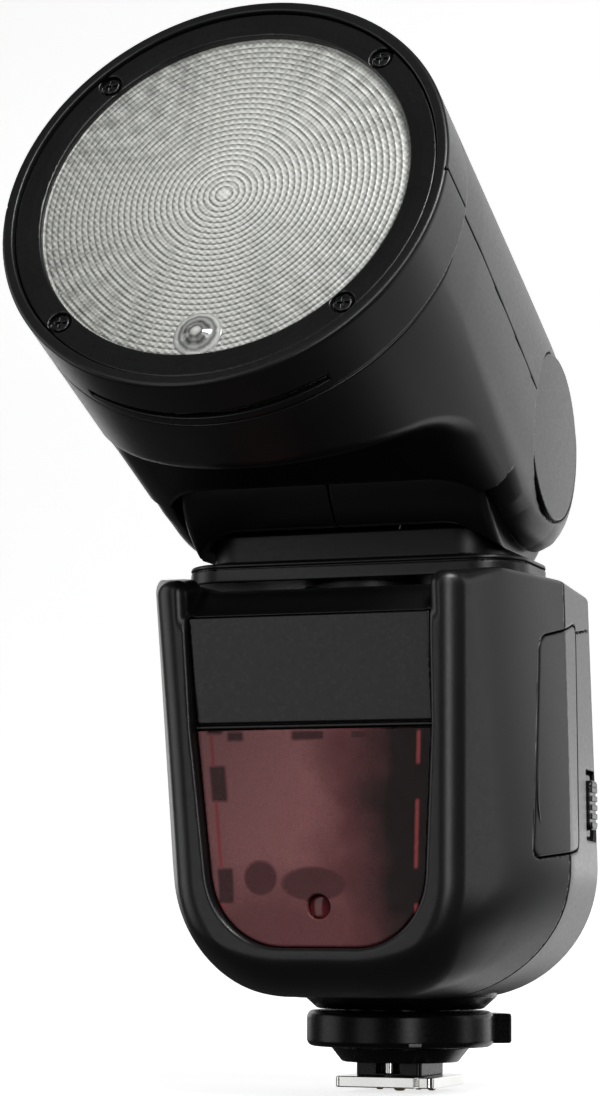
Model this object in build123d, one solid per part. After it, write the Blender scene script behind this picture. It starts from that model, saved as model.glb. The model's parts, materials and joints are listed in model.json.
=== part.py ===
from build123d import *
from math import acos, atan2, cos, hypot, radians, sin
import os

# Speedlight flash, rebuilt piece by piece.  Millimetres, +Z up.
# Origin: centre of the underside of the hot-shoe foot plate.
# +X is to the right of someone who faces the flash head, and the head looks towards -Y.

# ---------------------------------------------------------------- driving dimensions
# Hot-shoe foot
PLATE_W, PLATE_L, PLATE_T = 18.6, 19.5, 2.0
BLOCK_W, BLOCK_L, BLOCK_TOP = 12.4, 14.0, 4.9
NOTCH_W, NOTCH_FRONT, NOTCH_BACK = 4.6, -7.0, -4.4
CONE_R0, CONE_R1, CONE_TOP = 11.1, 12.7, 7.0
HUB_R, HUB_TOP = 11.0, 19.5
RING_R, RING_Z0, RING_Z1, RING_CLEAR = 17.1, 7.2, 13.7, 0.06
LEVER_REACH, LEVER_ANGLE, LEVER_SPAN = 22.4, 35.0, 24.0
COLLAR_R0, COLLAR_R1, COLLAR_Z0, WEB_TOP = 15.2, 17.7, 14.0, 21.0
PIN_CLEAR = 0.05
LOCK_PIN_R, LOCK_PIN_Y, LOCK_PIN_Z0, LOCK_PIN_Z1 = 0.9, -5.9, 0.2, 9.0
CENTRE_PIN_R, SIDE_PIN_R = 1.25, 0.8
SIDE_PINS = [(-5.0, 3.4), (-1.9, 5.2), (1.9, 5.2), (5.0, 3.4)]
PIN_OUT, PIN_TRAVEL, PIN_TOP = 0.9, 0.8, 3.6

# Body housing: plan sections from the chin to the top, as
# (z, half width, front y, rear y, front crest half width, knee half width, knee y)
SECTIONS = [
    (16.5, 13.4, -35.5, 15.0, 8.0, 12.6, -27.0),
    (18.6, 22.6, -40.6, 19.0, 16.4, 21.6, -29.5),
    (22.5, 28.7, -43.6, 20.8, 20.2, 26.9, -29.3),
    (28.5, 33.2, -45.7, 20.6, 23.6, 30.9, -29.0),
    (37.0, 36.2, -46.9, 20.0, 25.0, 33.3, -28.6),
    (63.0, 36.8, -49.8, 16.5, 25.8, 33.7, -32.8),
    (88.2, 36.8, -53.2, 13.0, 26.6, 33.9, -37.0),
]
PARTING_TOP, PARTING_LOW = (-19.7, 88.2), (-14.8, 33.5)
WAIST = 3.1
CREST_RADIUS, KNEE_RADIUS, REAR_RADIUS = 3.0, 6.0, 8.0
WALL = 2.0
PANEL_W, PANEL_TOP, PANEL_SPLIT, WINDOW_LOW = 22.0, 81.5, 62.6, 25.0
PANEL_LINE = [(-52.4, 88.2), (-47.6, 63.0), (-44.9, 36.0), (-43.8, 20.0)]
PANEL_T, PANEL_GAP = 1.6, 0.6

# Battery pack, which slides out towards +X: two cells, one above the other
CELL_R, CELL_X0, CELL_X1 = 9.0, -30.8, 34.1
CELLS = [(-18.2, 70.2), (-18.2, 51.6)]
PACK_R, PACK_X0, PACK_X1 = 9.5, -31.4, 34.2
CAP = [(-28.6, 78.6), (-8.4, 82.8), (-8.0, 42.6), (-27.9, 40.6)]
CAP_GAP, BAY_GAP, BAY_WALL, BAY_X0, BAY_X1 = 0.35, 0.3, 0.7, -32.4, 32.0

# Sockets under the port cover, on the side away from the battery
PORT_Y, USB_Z, SYNC_Z = -1.5, 67.0, 53.5
COVER_Y0, COVER_Y1, COVER_Z0, COVER_Z1, COVER_BACK = -6.0, 3.0, 46.0, 76.0, -32.5
COVER_HINGE, COVER_SWING_R, COVER_GAP = (-35.7, 3.1), 9.15, 0.3
SOCKET_X, SYNC_R = -32.2, 3.2

# Battery latch: the recess it slides in, its foot and its ribbed thumb pad, as (y0, y1, z0, z1)
LATCH_RECESS, LATCH_FOOT = (0.6, 10.6, 44.6, 57.4), (1.2, 8.2, 45.2, 56.8)
LATCH_PAD = (2.6, 7.4, 46.4, 55.6)
LATCH_X0, LATCH_FOOT_X0, LATCH_FOOT_X1, LATCH_PAD_X1 = 32.9, 33.1, 34.0, 36.2

# Rear panel, in its own frame: x to the right seen from behind, v up the slope from its middle
LCD_W, LCD_H, LCD_V = 48.0, 26.0, 9.0
KEY_W, KEY_H, KEY_V, KEY_XS = 8.0, 4.2, -8.4, (-17.4, -5.8, 5.8, 17.4)
KEY_GAP, KEY_DEPTH, KEY_PROUD = 0.25, 2.4, 0.9
DIAL_V, DIAL_R, DIAL_RIBS, SET_R = -21.5, 10.4, 24, 4.8
SIDE_KEY_X, SIDE_KEY_R, MODE_V, TEST_V = 19.0, 3.2, -16.0, -25.4
SWITCH_W, SWITCH_H, SWITCH_TRAVEL, SWITCH_X = 5.0, 3.4, 4.0, 17.0
SHELL_SCREWS = [(-27.2, 23.6), (27.2, 23.6), (-25.6, -5.0), (25.6, -5.0)]

# Neck: swivels about the vertical axis, and carries the tilt axis along X
SWIVEL_Y, TILT_Z = -19.4, 115.25
SHAFT_R, SHAFT_BORE, BUSH_R = 10.0, 6.5, 13.0
PLINTH_W, PLINTH_L, PLINTH_Z0, PLINTH_Z1, PLINTH_R = 31.8, 13.6, 89.7, 93.2, 9.0
BARREL_R, BARREL_W, BARREL_WALL, ARCH_Z = 24.0, 28.5, 2.0, 98.6
TILT_PIN_R = 5.0

# Head, measured along its own axis from the tilt axis
TILT_REST, TILT_LOWEST = 22.7, -7.0
HEAD_R, HEAD_FACE, CYLINDER_BACK = 38.0, 79.4, 53.0
EAR_R, EAR_X, EAR_INNER = 21.7, 35.3, 29.2
TUNNEL_R, TUNNEL_WALL = 25.2, 1.8
FLOOR_V, LIP_T, HUB_CAP_R = -22.0, 2.0, 14.9
BEZEL_IN, BEZEL_OUT, SCREW_PCD_R = 31.5, 35.95, 33.7
SLOT_S, SLOT_SPAN, SLOT_W, SLOT_DEPTH = 70.7, 64.0, 1.5, 1.2
BACK_STEP, EAR_RELIEF_S, EAR_RELIEF = 0.05, 17.6, 2.4

# Zoom drive inside the head
TUBE_R, TUBE_S, TUBE_HALF = 2.3, 43.0, 20.0
DRIVE_X, DRIVE_V, DRIVE_R, DRIVE_END = 28.5, 9.0, 1.5, 66.0
CARRIAGE_IN, CARRIAGE_OUT, CARRIAGE_S0, CARRIAGE_S1 = 18.8, 23.4, 41.0, 44.0


# ---------------------------------------------------------------- small helpers
def save(name, *solids):
    """Write one node; several separate solids share it as a group."""
    shape = solids[0] if len(solids) == 1 else Compound(children=list(solids))
    export_step(shape, f"parts/{name}.step")


def box(x0, x1, y0, y1, z0, z1):
    centre = Pos((x0 + x1) / 2, (y0 + y1) / 2, (z0 + z1) / 2)
    return centre * Box(x1 - x0, y1 - y0, z1 - z0)


def rod(radius, z0, z1, x=0.0, y=0.0):
    return Pos(x, y, (z0 + z1) / 2) * Cylinder(radius, z1 - z0)


def rod_x(radius, x0, x1, y=0.0, z=0.0):
    return Pos((x0 + x1) / 2, y, z) * Rot(0, 90, 0) * Cylinder(radius, x1 - x0)


def rod_s(radius, s0, s1, x=0.0, v=0.0):
    """A cylinder along the head axis, in the head's own frame (s forward is -Y)."""
    return Pos(x, -(s0 + s1) / 2, v) * Rot(90, 0, 0) * Cylinder(radius, s1 - s0)


def slab_x(points, x0, x1):
    """Extrude a (y, z) outline along X."""
    face = make_face(Polyline([(x0, y, z) for y, z in points], close=True))
    return extrude(face, amount=x1 - x0, dir=(1, 0, 0))


def slab_y(points, y0, y1):
    """Extrude an (x, z) outline along Y."""
    face = make_face(Polyline([(x, y0, z) for x, z in points], close=True))
    return extrude(face, amount=y1 - y0, dir=(0, 1, 0))


def turned(points):
    """Revolve an (r, z) outline about Z."""
    face = make_face(Polyline([(r, 0, z) for r, z in points], close=True))
    return revolve(face, Axis.Z)


def head_place(shape):
    """From the head's own frame to its rest place."""
    return Pos(0, SWIVEL_Y, TILT_Z) * Rot(-TILT_REST, 0, 0) * shape


def largest(shape):
    return max(shape.solids(), key=lambda s: s.volume)


# ---------------------------------------------------------------- hot-shoe foot
def foot_plate():
    plate = Pos(0, 0, PLATE_T / 2) * Box(PLATE_W, PLATE_L, PLATE_T)
    plate = fillet(plate.edges().filter_by(Axis.Z), 1.2)
    plate = chamfer(plate.faces().sort_by(Axis.Z)[0].edges(), 0.3)
    relief = box(PLATE_W / 2 - 3.4, PLATE_W / 2 - 2.6, -PLATE_L / 2, -PLATE_L / 2 + 3, 0, PLATE_T)
    return plate - relief - pin_holes(-1, PLATE_T + 1)


def pin_holes(z0, z1):
    holes = rod(CENTRE_PIN_R + PIN_CLEAR, z0, z1)
    holes += rod(LOCK_PIN_R + PIN_CLEAR, z0, z1, y=LOCK_PIN_Y)
    for x, y in SIDE_PINS:
        holes += rod(SIDE_PIN_R + PIN_CLEAR, z0, z1, x, y)
    return holes


def foot_hub():
    """Neck block, cone and the core that the lock ring turns on, in one moulding."""
    block = box(-BLOCK_W / 2, BLOCK_W / 2, -BLOCK_L / 2, BLOCK_L / 2, PLATE_T, BLOCK_TOP)
    block = fillet(block.edges().filter_by(Axis.Z), 1.0)
    block -= box(-NOTCH_W / 2, NOTCH_W / 2, NOTCH_FRONT - 1, NOTCH_BACK, PLATE_T, BLOCK_TOP)
    core = turned([(0, BLOCK_TOP), (CONE_R0, BLOCK_TOP), (CONE_R1, CONE_TOP), (HUB_R, CONE_TOP),
                   (HUB_R, HUB_TOP), (0, HUB_TOP)])
    hub = block + core
    top = PIN_TOP + PIN_TRAVEL + 0.3
    hub -= rod(CENTRE_PIN_R + PIN_CLEAR, PLATE_T, top)
    hub -= rod(LOCK_PIN_R + PIN_CLEAR, BLOCK_TOP, LOCK_PIN_Z1 + 0.3, y=LOCK_PIN_Y)
    for x, y in SIDE_PINS:
        hub -= rod(SIDE_PIN_R + PIN_CLEAR, PLATE_T, top, x, y)
    return hub - Compound(children=foot_screws())


def foot_screws():
    """Four screws, driven from inside through the collar's web into the hub."""
    screws = []
    for x in (-6.6, 6.6):
        for y in (-5.0, 5.0):
            screws.append(rod(1.9, WEB_TOP, WEB_TOP + 1.4, x, y) + rod(1.0, 12.0, WEB_TOP, x, y))
    return screws


def contact_pin(radius, x, y):
    pin = rod(radius, -PIN_OUT, PIN_TOP, x, y)
    return fillet(pin.faces().sort_by(Axis.Z)[0].edges(), radius * 0.6)


def lock_pin():
    pin = rod(LOCK_PIN_R, LOCK_PIN_Z0, LOCK_PIN_Z1 - 2.2, y=LOCK_PIN_Y)
    return chamfer(pin.faces().sort_by(Axis.Z)[0].edges(), 0.25)


def lock_ring():
    bore = HUB_R + RING_CLEAR
    ring = turned([(bore, RING_Z0), (RING_R, RING_Z0), (RING_R, RING_Z1), (bore, RING_Z1)])
    ring = fillet(ring.edges().filter_by(GeomType.CIRCLE).group_by(SortBy.RADIUS)[-1], 1.3)
    reach = box(RING_R - 2, LEVER_REACH, -4.4, 4.4, RING_Z0, RING_Z1)
    reach = fillet(reach.faces().sort_by(Axis.X)[-1].edges().filter_by(Axis.Z), 2.4)
    return ring + Rot(0, 0, LEVER_ANGLE) * reach


def foot_collar():
    """Boss under the chin that the lock ring tucks up to, with a web over the hub."""
    collar = turned([(HUB_R, COLLAR_Z0), (COLLAR_R0, COLLAR_Z0), (COLLAR_R1, 16.2), (COLLAR_R1, 16.5),
                     (13.0, 16.5), (13.0, WEB_TOP), (3.0, WEB_TOP), (3.0, HUB_TOP), (HUB_R, HUB_TOP)])
    return collar - Compound(children=foot_screws())


# ---------------------------------------------------------------- body housing
def plan_face(section, z, inset):
    """One level of the housing: flat front, angled cheeks, a crease and a narrower rear."""
    _, half_width, front, rear, crest, knee, knee_y = section
    w, f, r = half_width - inset, front + inset, rear - inset
    right = [(crest - 0.6 * inset, f), (knee - inset, knee_y), (w, parting_y(z)), (w - WAIST, r)]
    points = right + [(-x, y) for x, y in reversed(right)]
    face = make_face(Polyline([(x, y, z) for x, y in points], close=True))
    shrink = min(1.0, (half_width - 8) / 24)
    for corner_y, radius in ((f, CREST_RADIUS), (knee_y, KNEE_RADIUS), (r, REAR_RADIUS)):
        corners = [v for v in face.vertices() if abs(v.Y - corner_y) < 0.001]
        outermost = max(abs(v.X) for v in corners)
        corners = [v for v in corners if abs(v.X) > outermost - 0.001]
        face = fillet(corners, max(1.0, (radius - inset) * shrink))
    return face


def parting_y(z):
    """Where the joint between the front and rear shells runs, at one level."""
    (y_top, z_top), (y_low, z_low) = PARTING_TOP, PARTING_LOW
    return y_low + (y_top - y_low) * (z - z_low) / (z_top - z_low)


def body_block(inset=0.0):
    """The housing's outer form, or the same form pulled in by a wall thickness."""
    faces = []
    for section in SECTIONS:
        z = section[0]
        level = z + (inset if z == SECTIONS[0][0] else -inset if z == SECTIONS[-1][0] else 0)
        faces.append(plan_face(section, level, inset))
    return loft(faces, ruled=True)


def front_relief():
    """The sloped roof between the cheeks, which lets the head dip below level."""
    points = [(-33.9, 92.0), (-33.9, 88.3), (-42.0, 87.4), (-48.0, 84.6), (-50.6, PANEL_TOP),
              (-60.0, PANEL_TOP), (-60.0, 92.0)]
    return slab_x(points, -PANEL_W, PANEL_W)


def front_strip(depth0, depth1):
    """A layer that follows the slope of the front panel, between two depths."""
    outer = [(y + depth0, z) for y, z in PANEL_LINE]
    inner = [(y + depth1, z) for y, z in reversed(PANEL_LINE)]
    return slab_x(outer + inner, -30, 30)


def window_outline(grow=0.0):
    """U-shaped outline of the red window."""
    top, low = PANEL_SPLIT - PANEL_GAP / 2, WINDOW_LOW - grow
    w0, w1 = 21.6 + grow, 19.6 + grow
    side = [(w0, top), (w1, 36.0)]
    bend = [(w1 - 11.5 * (1 - cos(radians(a))), 36.5 - (36.5 - low) * sin(radians(a)))
            for a in (25, 50, 70, 90)]
    return mirrored(side + bend)


def mirrored(right):
    """Close an outline, given its right-hand side from the top down."""
    return right + [(-x, z) for x, z in reversed(right)]


def badge_outline(grow=0.0):
    w0, w1 = 22.0 + grow, 21.5 + grow
    low = PANEL_SPLIT + PANEL_GAP / 2
    return [(-w0, PANEL_TOP + grow), (w0, PANEL_TOP + grow), (w1, low), (-w1, low)]


def badge_panel():
    return front_strip(0, PANEL_T) & slab_y(badge_outline(-0.15), -60, -30)


def red_window():
    return front_strip(0, PANEL_T) & slab_y(window_outline(-0.15), -60, -30)


def window_frame():
    """Dark frame behind the red window, with square tabs along both sides."""
    ring = front_strip(PANEL_T + 0.3, PANEL_T + 1.3) & slab_y(window_outline(-0.4), -60, -30)
    ring -= slab_y(mirrored([(17.0, 60.0), (15.5, 36.0), (9.0, 28.5)]), -60, -30)
    for side in (-1, 1):
        x0, x1 = sorted((side * 16.0, side * 18.6))
        for z in (34.0, 41.5, 49.0, 56.5):
            ring -= box(x0, x1, -60, -30, z, z + 3.4)
    return largest(ring)


def cheek_relief():
    """Room for the head when it points straight ahead and dips to its lowest."""
    drum = rod_s(HEAD_R + 0.6, 0, 80) & box(-40, 40, -90, 0, FLOOR_V - 0.6, 60)
    return Pos(0, SWIVEL_Y, TILT_Z) * Rot(-TILT_LOWEST, 0, 0) * drum


def cap_prism(grow, x0, x1):
    """The battery cap's outline, which leans with its edges."""
    (y0, z0), (y1, z1), (y2, z2), (y3, z3) = CAP
    upper = [(y0 - grow, z0 + grow), (y1 + grow, z1 + grow)]
    prism = slab_x(upper + [(y2 + grow, z2 - grow), (y3 - grow, z3 - grow)], x0, x1)
    return fillet(prism.edges().filter_by(Axis.X), 2.0 + grow)


def rear_place(shape):
    """From the rear panel's frame (x right seen from behind, y up the slope, z outward) to its place."""
    (z0, y0), (z1, y1) = [(row[0], row[3]) for row in (SECTIONS[4], SECTIONS[6])]
    middle = ((y0 + y1) / 2, (z0 + z1) / 2)
    panel = Plane(origin=(0, *middle), x_dir=(-1, 0, 0), z_dir=(0, z1 - z0, y0 - y1))
    return panel.location * shape


def rear_key_solid(x, v, width, height):
    key = Pos(x, v, (KEY_PROUD - KEY_DEPTH) / 2) * Box(width, height, KEY_DEPTH + KEY_PROUD)
    key = fillet(key.edges().filter_by(Axis.Z), 1.2)
    return chamfer(key.faces().sort_by(Axis.Z)[-1].edges(), 0.3)


def rear_round(x, v, radius, low=-KEY_DEPTH, high=KEY_PROUD):
    return chamfer(rod(radius, low, high, x, v).faces().sort_by(Axis.Z)[-1].edges(), 0.35)


def rear_openings():
    cut = Pos(0, LCD_V, 0) * Box(LCD_W + 0.2, LCD_H + 0.2, 9)
    for x in KEY_XS:
        cut += Pos(x, KEY_V, 0) * Box(KEY_W + 2 * KEY_GAP, KEY_H + 2 * KEY_GAP, 9)
    cut += rod(DIAL_R + KEY_GAP, -4.5, 4.5, 0, DIAL_V)
    for x, v in ((-SIDE_KEY_X, MODE_V), (SIDE_KEY_X, MODE_V), (-SIDE_KEY_X, TEST_V)):
        cut += rod(SIDE_KEY_R + KEY_GAP, -4.5, 4.5, x, v)
    cut += Pos(SWITCH_X + SWITCH_TRAVEL / 2, TEST_V, 0) * Box(
        SWITCH_W + SWITCH_TRAVEL + 2 * KEY_GAP, SWITCH_H + 2 * KEY_GAP, 9)
    return cut


def port_cover_block(grow=0.0):
    y0, y1, z0, z1 = COVER_Y0 - grow, COVER_Y1 + grow, COVER_Z0 - grow, COVER_Z1 + grow
    return box(-40, COVER_BACK + grow, y0, y1, z0, z1)


def port_wall():
    """Floor of the port recess, with the two sockets set into it."""
    wall = box(SOCKET_X, SOCKET_X + 1.3, COVER_Y0 - 1, COVER_Y1 + 1, COVER_Z0 - 1, COVER_Z1 + 1)
    wall -= rod_x(SYNC_R, -40, -20, PORT_Y, SYNC_Z)
    return wall - usb_form(-40, -20, 0)


def usb_form(x0, x1, inset):
    half_y, half_z = 1.9 - inset, 4.7 - inset
    form = box(x0, x1, PORT_Y - half_y, PORT_Y + half_y, USB_Z - half_z, USB_Z + half_z)
    return fillet(form.edges().filter_by(Axis.X), 1.4 - inset / 2)


def latch_recess():
    return box(LATCH_X0, 40, *LATCH_RECESS)


def shell_pair():
    outer = body_block()
    shell = outer - body_block(WALL)
    shell -= front_relief()
    shell -= slab_y(mirrored([(19.6, 60.5), (18.0, 37.0), (10.5, 27.0)]), -60, -38)
    shell += roof_plate() & outer
    shell += port_wall()
    for outline in (badge_outline(), window_outline()):
        shell -= front_strip(-4, PANEL_T + 0.2) & slab_y(outline, -60, -30)
    shell -= cheek_relief()
    shell -= cap_prism(CAP_GAP, 20, 45)
    shell -= port_cover_block(COVER_GAP)
    shell -= latch_recess()
    shell -= rear_place(rear_openings())
    shell -= rod(BUSH_R, 80, 95, y=SWIVEL_Y)
    shell -= rod(13.0, 10, 26)
    for screw in shell_screws():
        shell -= screw
    line = [(parting_y(z), z) for z in (0.0, 110.0)]
    front_half = slab_x([(-80, 0), *line, (-80, 110)], -50, 50)
    front = largest(shell & front_half)
    rear = largest(shell - front_half)
    return front, rear


def roof_plate():
    """The wall under the sloped roof between the cheeks."""
    top = [(-33.9, 88.3), (-42.0, 87.4), (-48.0, 84.6), (-50.6, PANEL_TOP)]
    under = [(-48.4, 79.6), (-46.4, 83.0), (-41.4, 85.4), (-33.9, 86.2)]
    return slab_x(top + under, -PANEL_W - 0.5, PANEL_W + 0.5)


def shell_screws():
    """Four screws driven in from the rear, sunk in round wells."""
    screws = []
    for x, v in SHELL_SCREWS:
        screws.append(rear_place(rod(1.9, -1.9, -0.6, x, v) + rod(0.9, -8.0, -1.9, x, v)))
    return screws


# ---------------------------------------------------------------- inside the housing
def pack_form(radius, x0, x1):
    """Two cells side by side, wrapped in one outline of that radius."""
    (ya, za), (yb, zb) = CELLS
    span = hypot(ya - yb, za - zb)
    across_y, across_z = radius * (za - zb) / span, -radius * (ya - yb) / span
    middle = [(ya - across_y, za - across_z), (ya + across_y, za + across_z),
              (yb + across_y, zb + across_z), (yb - across_y, zb - across_z)]
    return slab_x(middle, x0, x1) + rod_x(radius, x0, x1, ya, za) + rod_x(radius, x0, x1, yb, zb)


def battery_bay():
    """Sleeve that the pack slides in, open towards +X."""
    inner = PACK_R + BAY_GAP
    return pack_form(inner + BAY_WALL, BAY_X0, BAY_X1) - pack_form(inner, BAY_X0 + 0.4, BAY_X1 + 1)


def battery_contacts():
    x0 = BAY_X0 + 0.4
    y = (CELLS[0][0] + CELLS[1][0]) / 2
    return [box(x0, x0 + 0.5, y + dy - 1.2, y + dy + 1.2, 54, 68) for dy in (-5.4, 0, 5.4)]


def battery_case():
    case = pack_form(PACK_R, PACK_X0, PACK_X1)
    for y, z in CELLS:
        case -= rod_x(CELL_R + 0.1, CELL_X0, PACK_X1 + 1, y, z)
    return case


def battery_cells():
    return [rod_x(CELL_R, CELL_X0, CELL_X1, y, z) for y, z in CELLS]


def battery_cap():
    cap = body_block() & cap_prism(0, BAY_X1 + 0.4, 45)
    return largest(cap - pack_form(PACK_R, PACK_X0, PACK_X1))


def battery_latch():
    """Sliding catch beside the battery cap, with a ribbed thumb pad."""
    foot = box(LATCH_FOOT_X0, LATCH_FOOT_X1, *LATCH_FOOT)
    pad = box(LATCH_FOOT_X1, LATCH_PAD_X1, *LATCH_PAD)
    pad = fillet(pad.edges().filter_by(Axis.X), 1.2)
    y0, y1, z0, _ = LATCH_PAD
    for i in range(4):
        z = z0 + 1.6 + 2.0 * i
        pad -= box(LATCH_PAD_X1 - 0.5, LATCH_PAD_X1 + 1, y0 - 1, y1 + 1, z - 0.35, z + 0.35)
    return foot + pad


def port_cover():
    """Flap over the sockets; its free edge is round about the hinge, so that it swings clear."""
    swing = rod(COVER_SWING_R, COVER_Z0 - 1, COVER_Z1 + 1, *COVER_HINGE)
    return largest(body_block() & port_cover_block() & swing)


def usb_port():
    x0 = SOCKET_X
    tongue = box(x0 + 1.2, x0 + 6, PORT_Y - 0.35, PORT_Y + 0.35, USB_Z - 2.9, USB_Z + 2.9)
    return usb_form(x0, x0 + 6.5, 0) - usb_form(x0 - 1, x0 + 5.5, 0.5) + tongue


def sync_jack():
    barrel = rod_x(SYNC_R, SOCKET_X, SOCKET_X + 9, PORT_Y, SYNC_Z)
    return barrel - rod_x(1.3, SOCKET_X - 1, SOCKET_X + 8, PORT_Y, SYNC_Z)


def main_board():
    board = box(-26, 26, -7.5, -6.1, 24, 81)
    parts = [(-18, -8, 30, 38), (4, 16, 46, 54), (-14, -4, 56, 62), (10, 18, 66, 74)]
    for x0, x1, z0, z1 in parts:
        board += box(x0, x1, -6.1, -4.5, z0, z1)
    return board


def main_capacitor():
    can = rod_x(8.6, -25, 25, 4.4, 31.6)
    return fillet(can.edges().filter_by(GeomType.CIRCLE), 1.0)


def focus_assist_lamp():
    """Lamp and lens block that shines through the red window."""
    case = box(-9, 9, -41.0, -34.0, 41, 55)
    case = fillet(case.edges().filter_by(Axis.Y), 1.5)
    lens = Pos(-2.5, -41.0, 48) * Rot(90, 0, 0) * Cone(5.2, 4.0, 1.6)
    return case + lens


def photo_sensor():
    return Pos(0, -40.2, 32.0) * Rot(90, 0, 0) * Cylinder(2.1, 4.6)


def swivel_bush():
    bush = rod(BUSH_R, 84.2, 88.3, y=SWIVEL_Y) + rod(11.4, 88.3, 89.3, y=SWIVEL_Y)
    return bush - rod(SHAFT_R + PIN_CLEAR, 80, 95, y=SWIVEL_Y)


def lcd_window():
    glass = Pos(0, LCD_V, -0.9) * Box(LCD_W, LCD_H, 1.4)
    return rear_place(fillet(glass.edges().filter_by(Axis.Z), 1.0))


def lcd_module():
    return rear_place(Pos(0, LCD_V, -3.8) * Box(LCD_W - 3, LCD_H + 1, 3.0))


def control_dial():
    """Ribbed selector wheel round the set button."""
    wheel = rod(DIAL_R, -KEY_DEPTH, KEY_PROUD + 0.5, 0, DIAL_V)
    wheel = chamfer(wheel.faces().sort_by(Axis.Z)[-1].edges(), 0.5)
    wheel -= rod(SET_R + KEY_GAP, -5, 5, 0, DIAL_V)
    groove = Pos(DIAL_R + 0.25, 0, 1.0) * Cylinder(0.5, 1.6)
    for i in range(DIAL_RIBS):
        wheel -= Pos(0, DIAL_V, 0) * Rot(0, 0, 360 / DIAL_RIBS * i) * groove
    return rear_place(wheel)


def power_switch():
    knob = Pos(SWITCH_X, TEST_V, 0) * Box(SWITCH_W, SWITCH_H, KEY_DEPTH)
    knob = Pos(0, 0, -0.1) * fillet(knob.edges().filter_by(Axis.Z), 0.8)
    return rear_place(knob)


# ---------------------------------------------------------------- neck
def neck_base():
    plinth = box(-PLINTH_W, PLINTH_W, SWIVEL_Y - PLINTH_L, SWIVEL_Y + PLINTH_L, PLINTH_Z0, PLINTH_Z1)
    plinth = fillet(plinth.edges().filter_by(Axis.Z), PLINTH_R)
    plinth = fillet(plinth.faces().sort_by(Axis.Z)[-1].edges(), 0.7)
    return plinth - rod(SHAFT_R, 80, 95, y=SWIVEL_Y)


def swivel_shaft():
    """Hollow shaft with a flange that holds the neck down under the bush."""
    shaft = rod(SHAFT_R, 82.3, PLINTH_Z1, y=SWIVEL_Y) + rod(12.4, 82.3, 83.8, y=SWIVEL_Y)
    return shaft - rod(SHAFT_BORE, 80, 95, y=SWIVEL_Y)


def neck_core():
    """Inner frame between the plinth and the barrel halves, seen as a dark band."""
    column = box(-27.0, 27.0, SWIVEL_Y - 12.4, SWIVEL_Y + 12.4, PLINTH_Z1, ARCH_Z - 0.3)
    column = fillet(column.edges().filter_by(Axis.Z), 7.0)
    return column - rod(SHAFT_BORE, 80, 110, y=SWIVEL_Y)


def neck_half(side):
    """Half of the barrel that the head tilts round, with its end wall and pin bore."""
    x0, x1 = (0.03, BARREL_W) if side > 0 else (-BARREL_W, -0.03)
    barrel = rod_x(BARREL_R, x0, x1, SWIVEL_Y, TILT_Z)
    edge = max(x0, x1, key=abs)
    ends = barrel.edges().filter_by(GeomType.CIRCLE).filter_by(lambda e: abs(e.center().X - edge) < 0.1)
    barrel = fillet(ends, 1.2)
    inner = edge - side * BARREL_WALL
    barrel -= rod_x(BARREL_R - BARREL_WALL, min(x0 - 1, inner) if side > 0 else inner,
                    inner if side > 0 else x1 + 1, SWIVEL_Y, TILT_Z)
    barrel -= box(-40, 40, -60, 20, 80, ARCH_Z)
    return barrel - rod_x(TILT_PIN_R + PIN_CLEAR, -40, 40, SWIVEL_Y, TILT_Z)


# ---------------------------------------------------------------- head, in its own frame
def tangent_point(radius, s, v):
    """Where the line from (s, v) touches the circle of that radius about the tilt axis, above."""
    angle = atan2(v, s) + acos(radius / hypot(s, v))
    return radius * cos(angle), radius * sin(angle)


def head_form(inset=0.0):
    """Round front drum that flattens towards the two ears, which are relieved to clear the plinth."""
    r = HEAD_R - inset
    drum = rod_s(r, CYLINDER_BACK, HEAD_FACE) + rod_s(r - BACK_STEP, -EAR_R, CYLINDER_BACK)
    top = tangent_point(EAR_R - inset, CYLINDER_BACK, r)
    floor = FLOOR_V + inset
    side = [(HEAD_FACE, -r), (CYLINDER_BACK + inset * 0.6, -r), (42.0 + inset * 0.4, floor - 1.5),
            (39.0 + inset * 0.4, floor), (EAR_RELIEF_S + 2, floor), (EAR_RELIEF_S, floor + EAR_RELIEF),
            (0.0, inset - EAR_R), top, (CYLINDER_BACK, r), (HEAD_FACE, r)]
    profile = slab_x([(-s, v) for s, v in side], -r, r)
    profile += rod_x(EAR_R - inset, -r, r)
    w0, w1 = EAR_X - inset, r
    plan = [(-w0, EAR_R), (-w0, 0), (-w1, -57), (-w1, -HEAD_FACE), (w1, -HEAD_FACE), (w1, -57),
            (w0, 0), (w0, EAR_R)]
    wedge = extrude(make_face(Polyline([(x, y, -40) for x, y in plan], close=True)), amount=80,
                    dir=(0, 0, 1))
    return drum & profile & wedge


def head_tunnel():
    """Space round the barrel, open behind for the neck column."""
    tunnel = rod_x(TUNNEL_R, -EAR_INNER, EAR_INNER)
    reach = 70.0
    angles = [105, 150, 200, 250, 290, 316]
    fan = [(0, 0)] + [(-reach * cos(radians(a)), reach * sin(radians(a))) for a in angles]
    return tunnel + slab_x(fan, -EAR_INNER, EAR_INNER)


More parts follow.
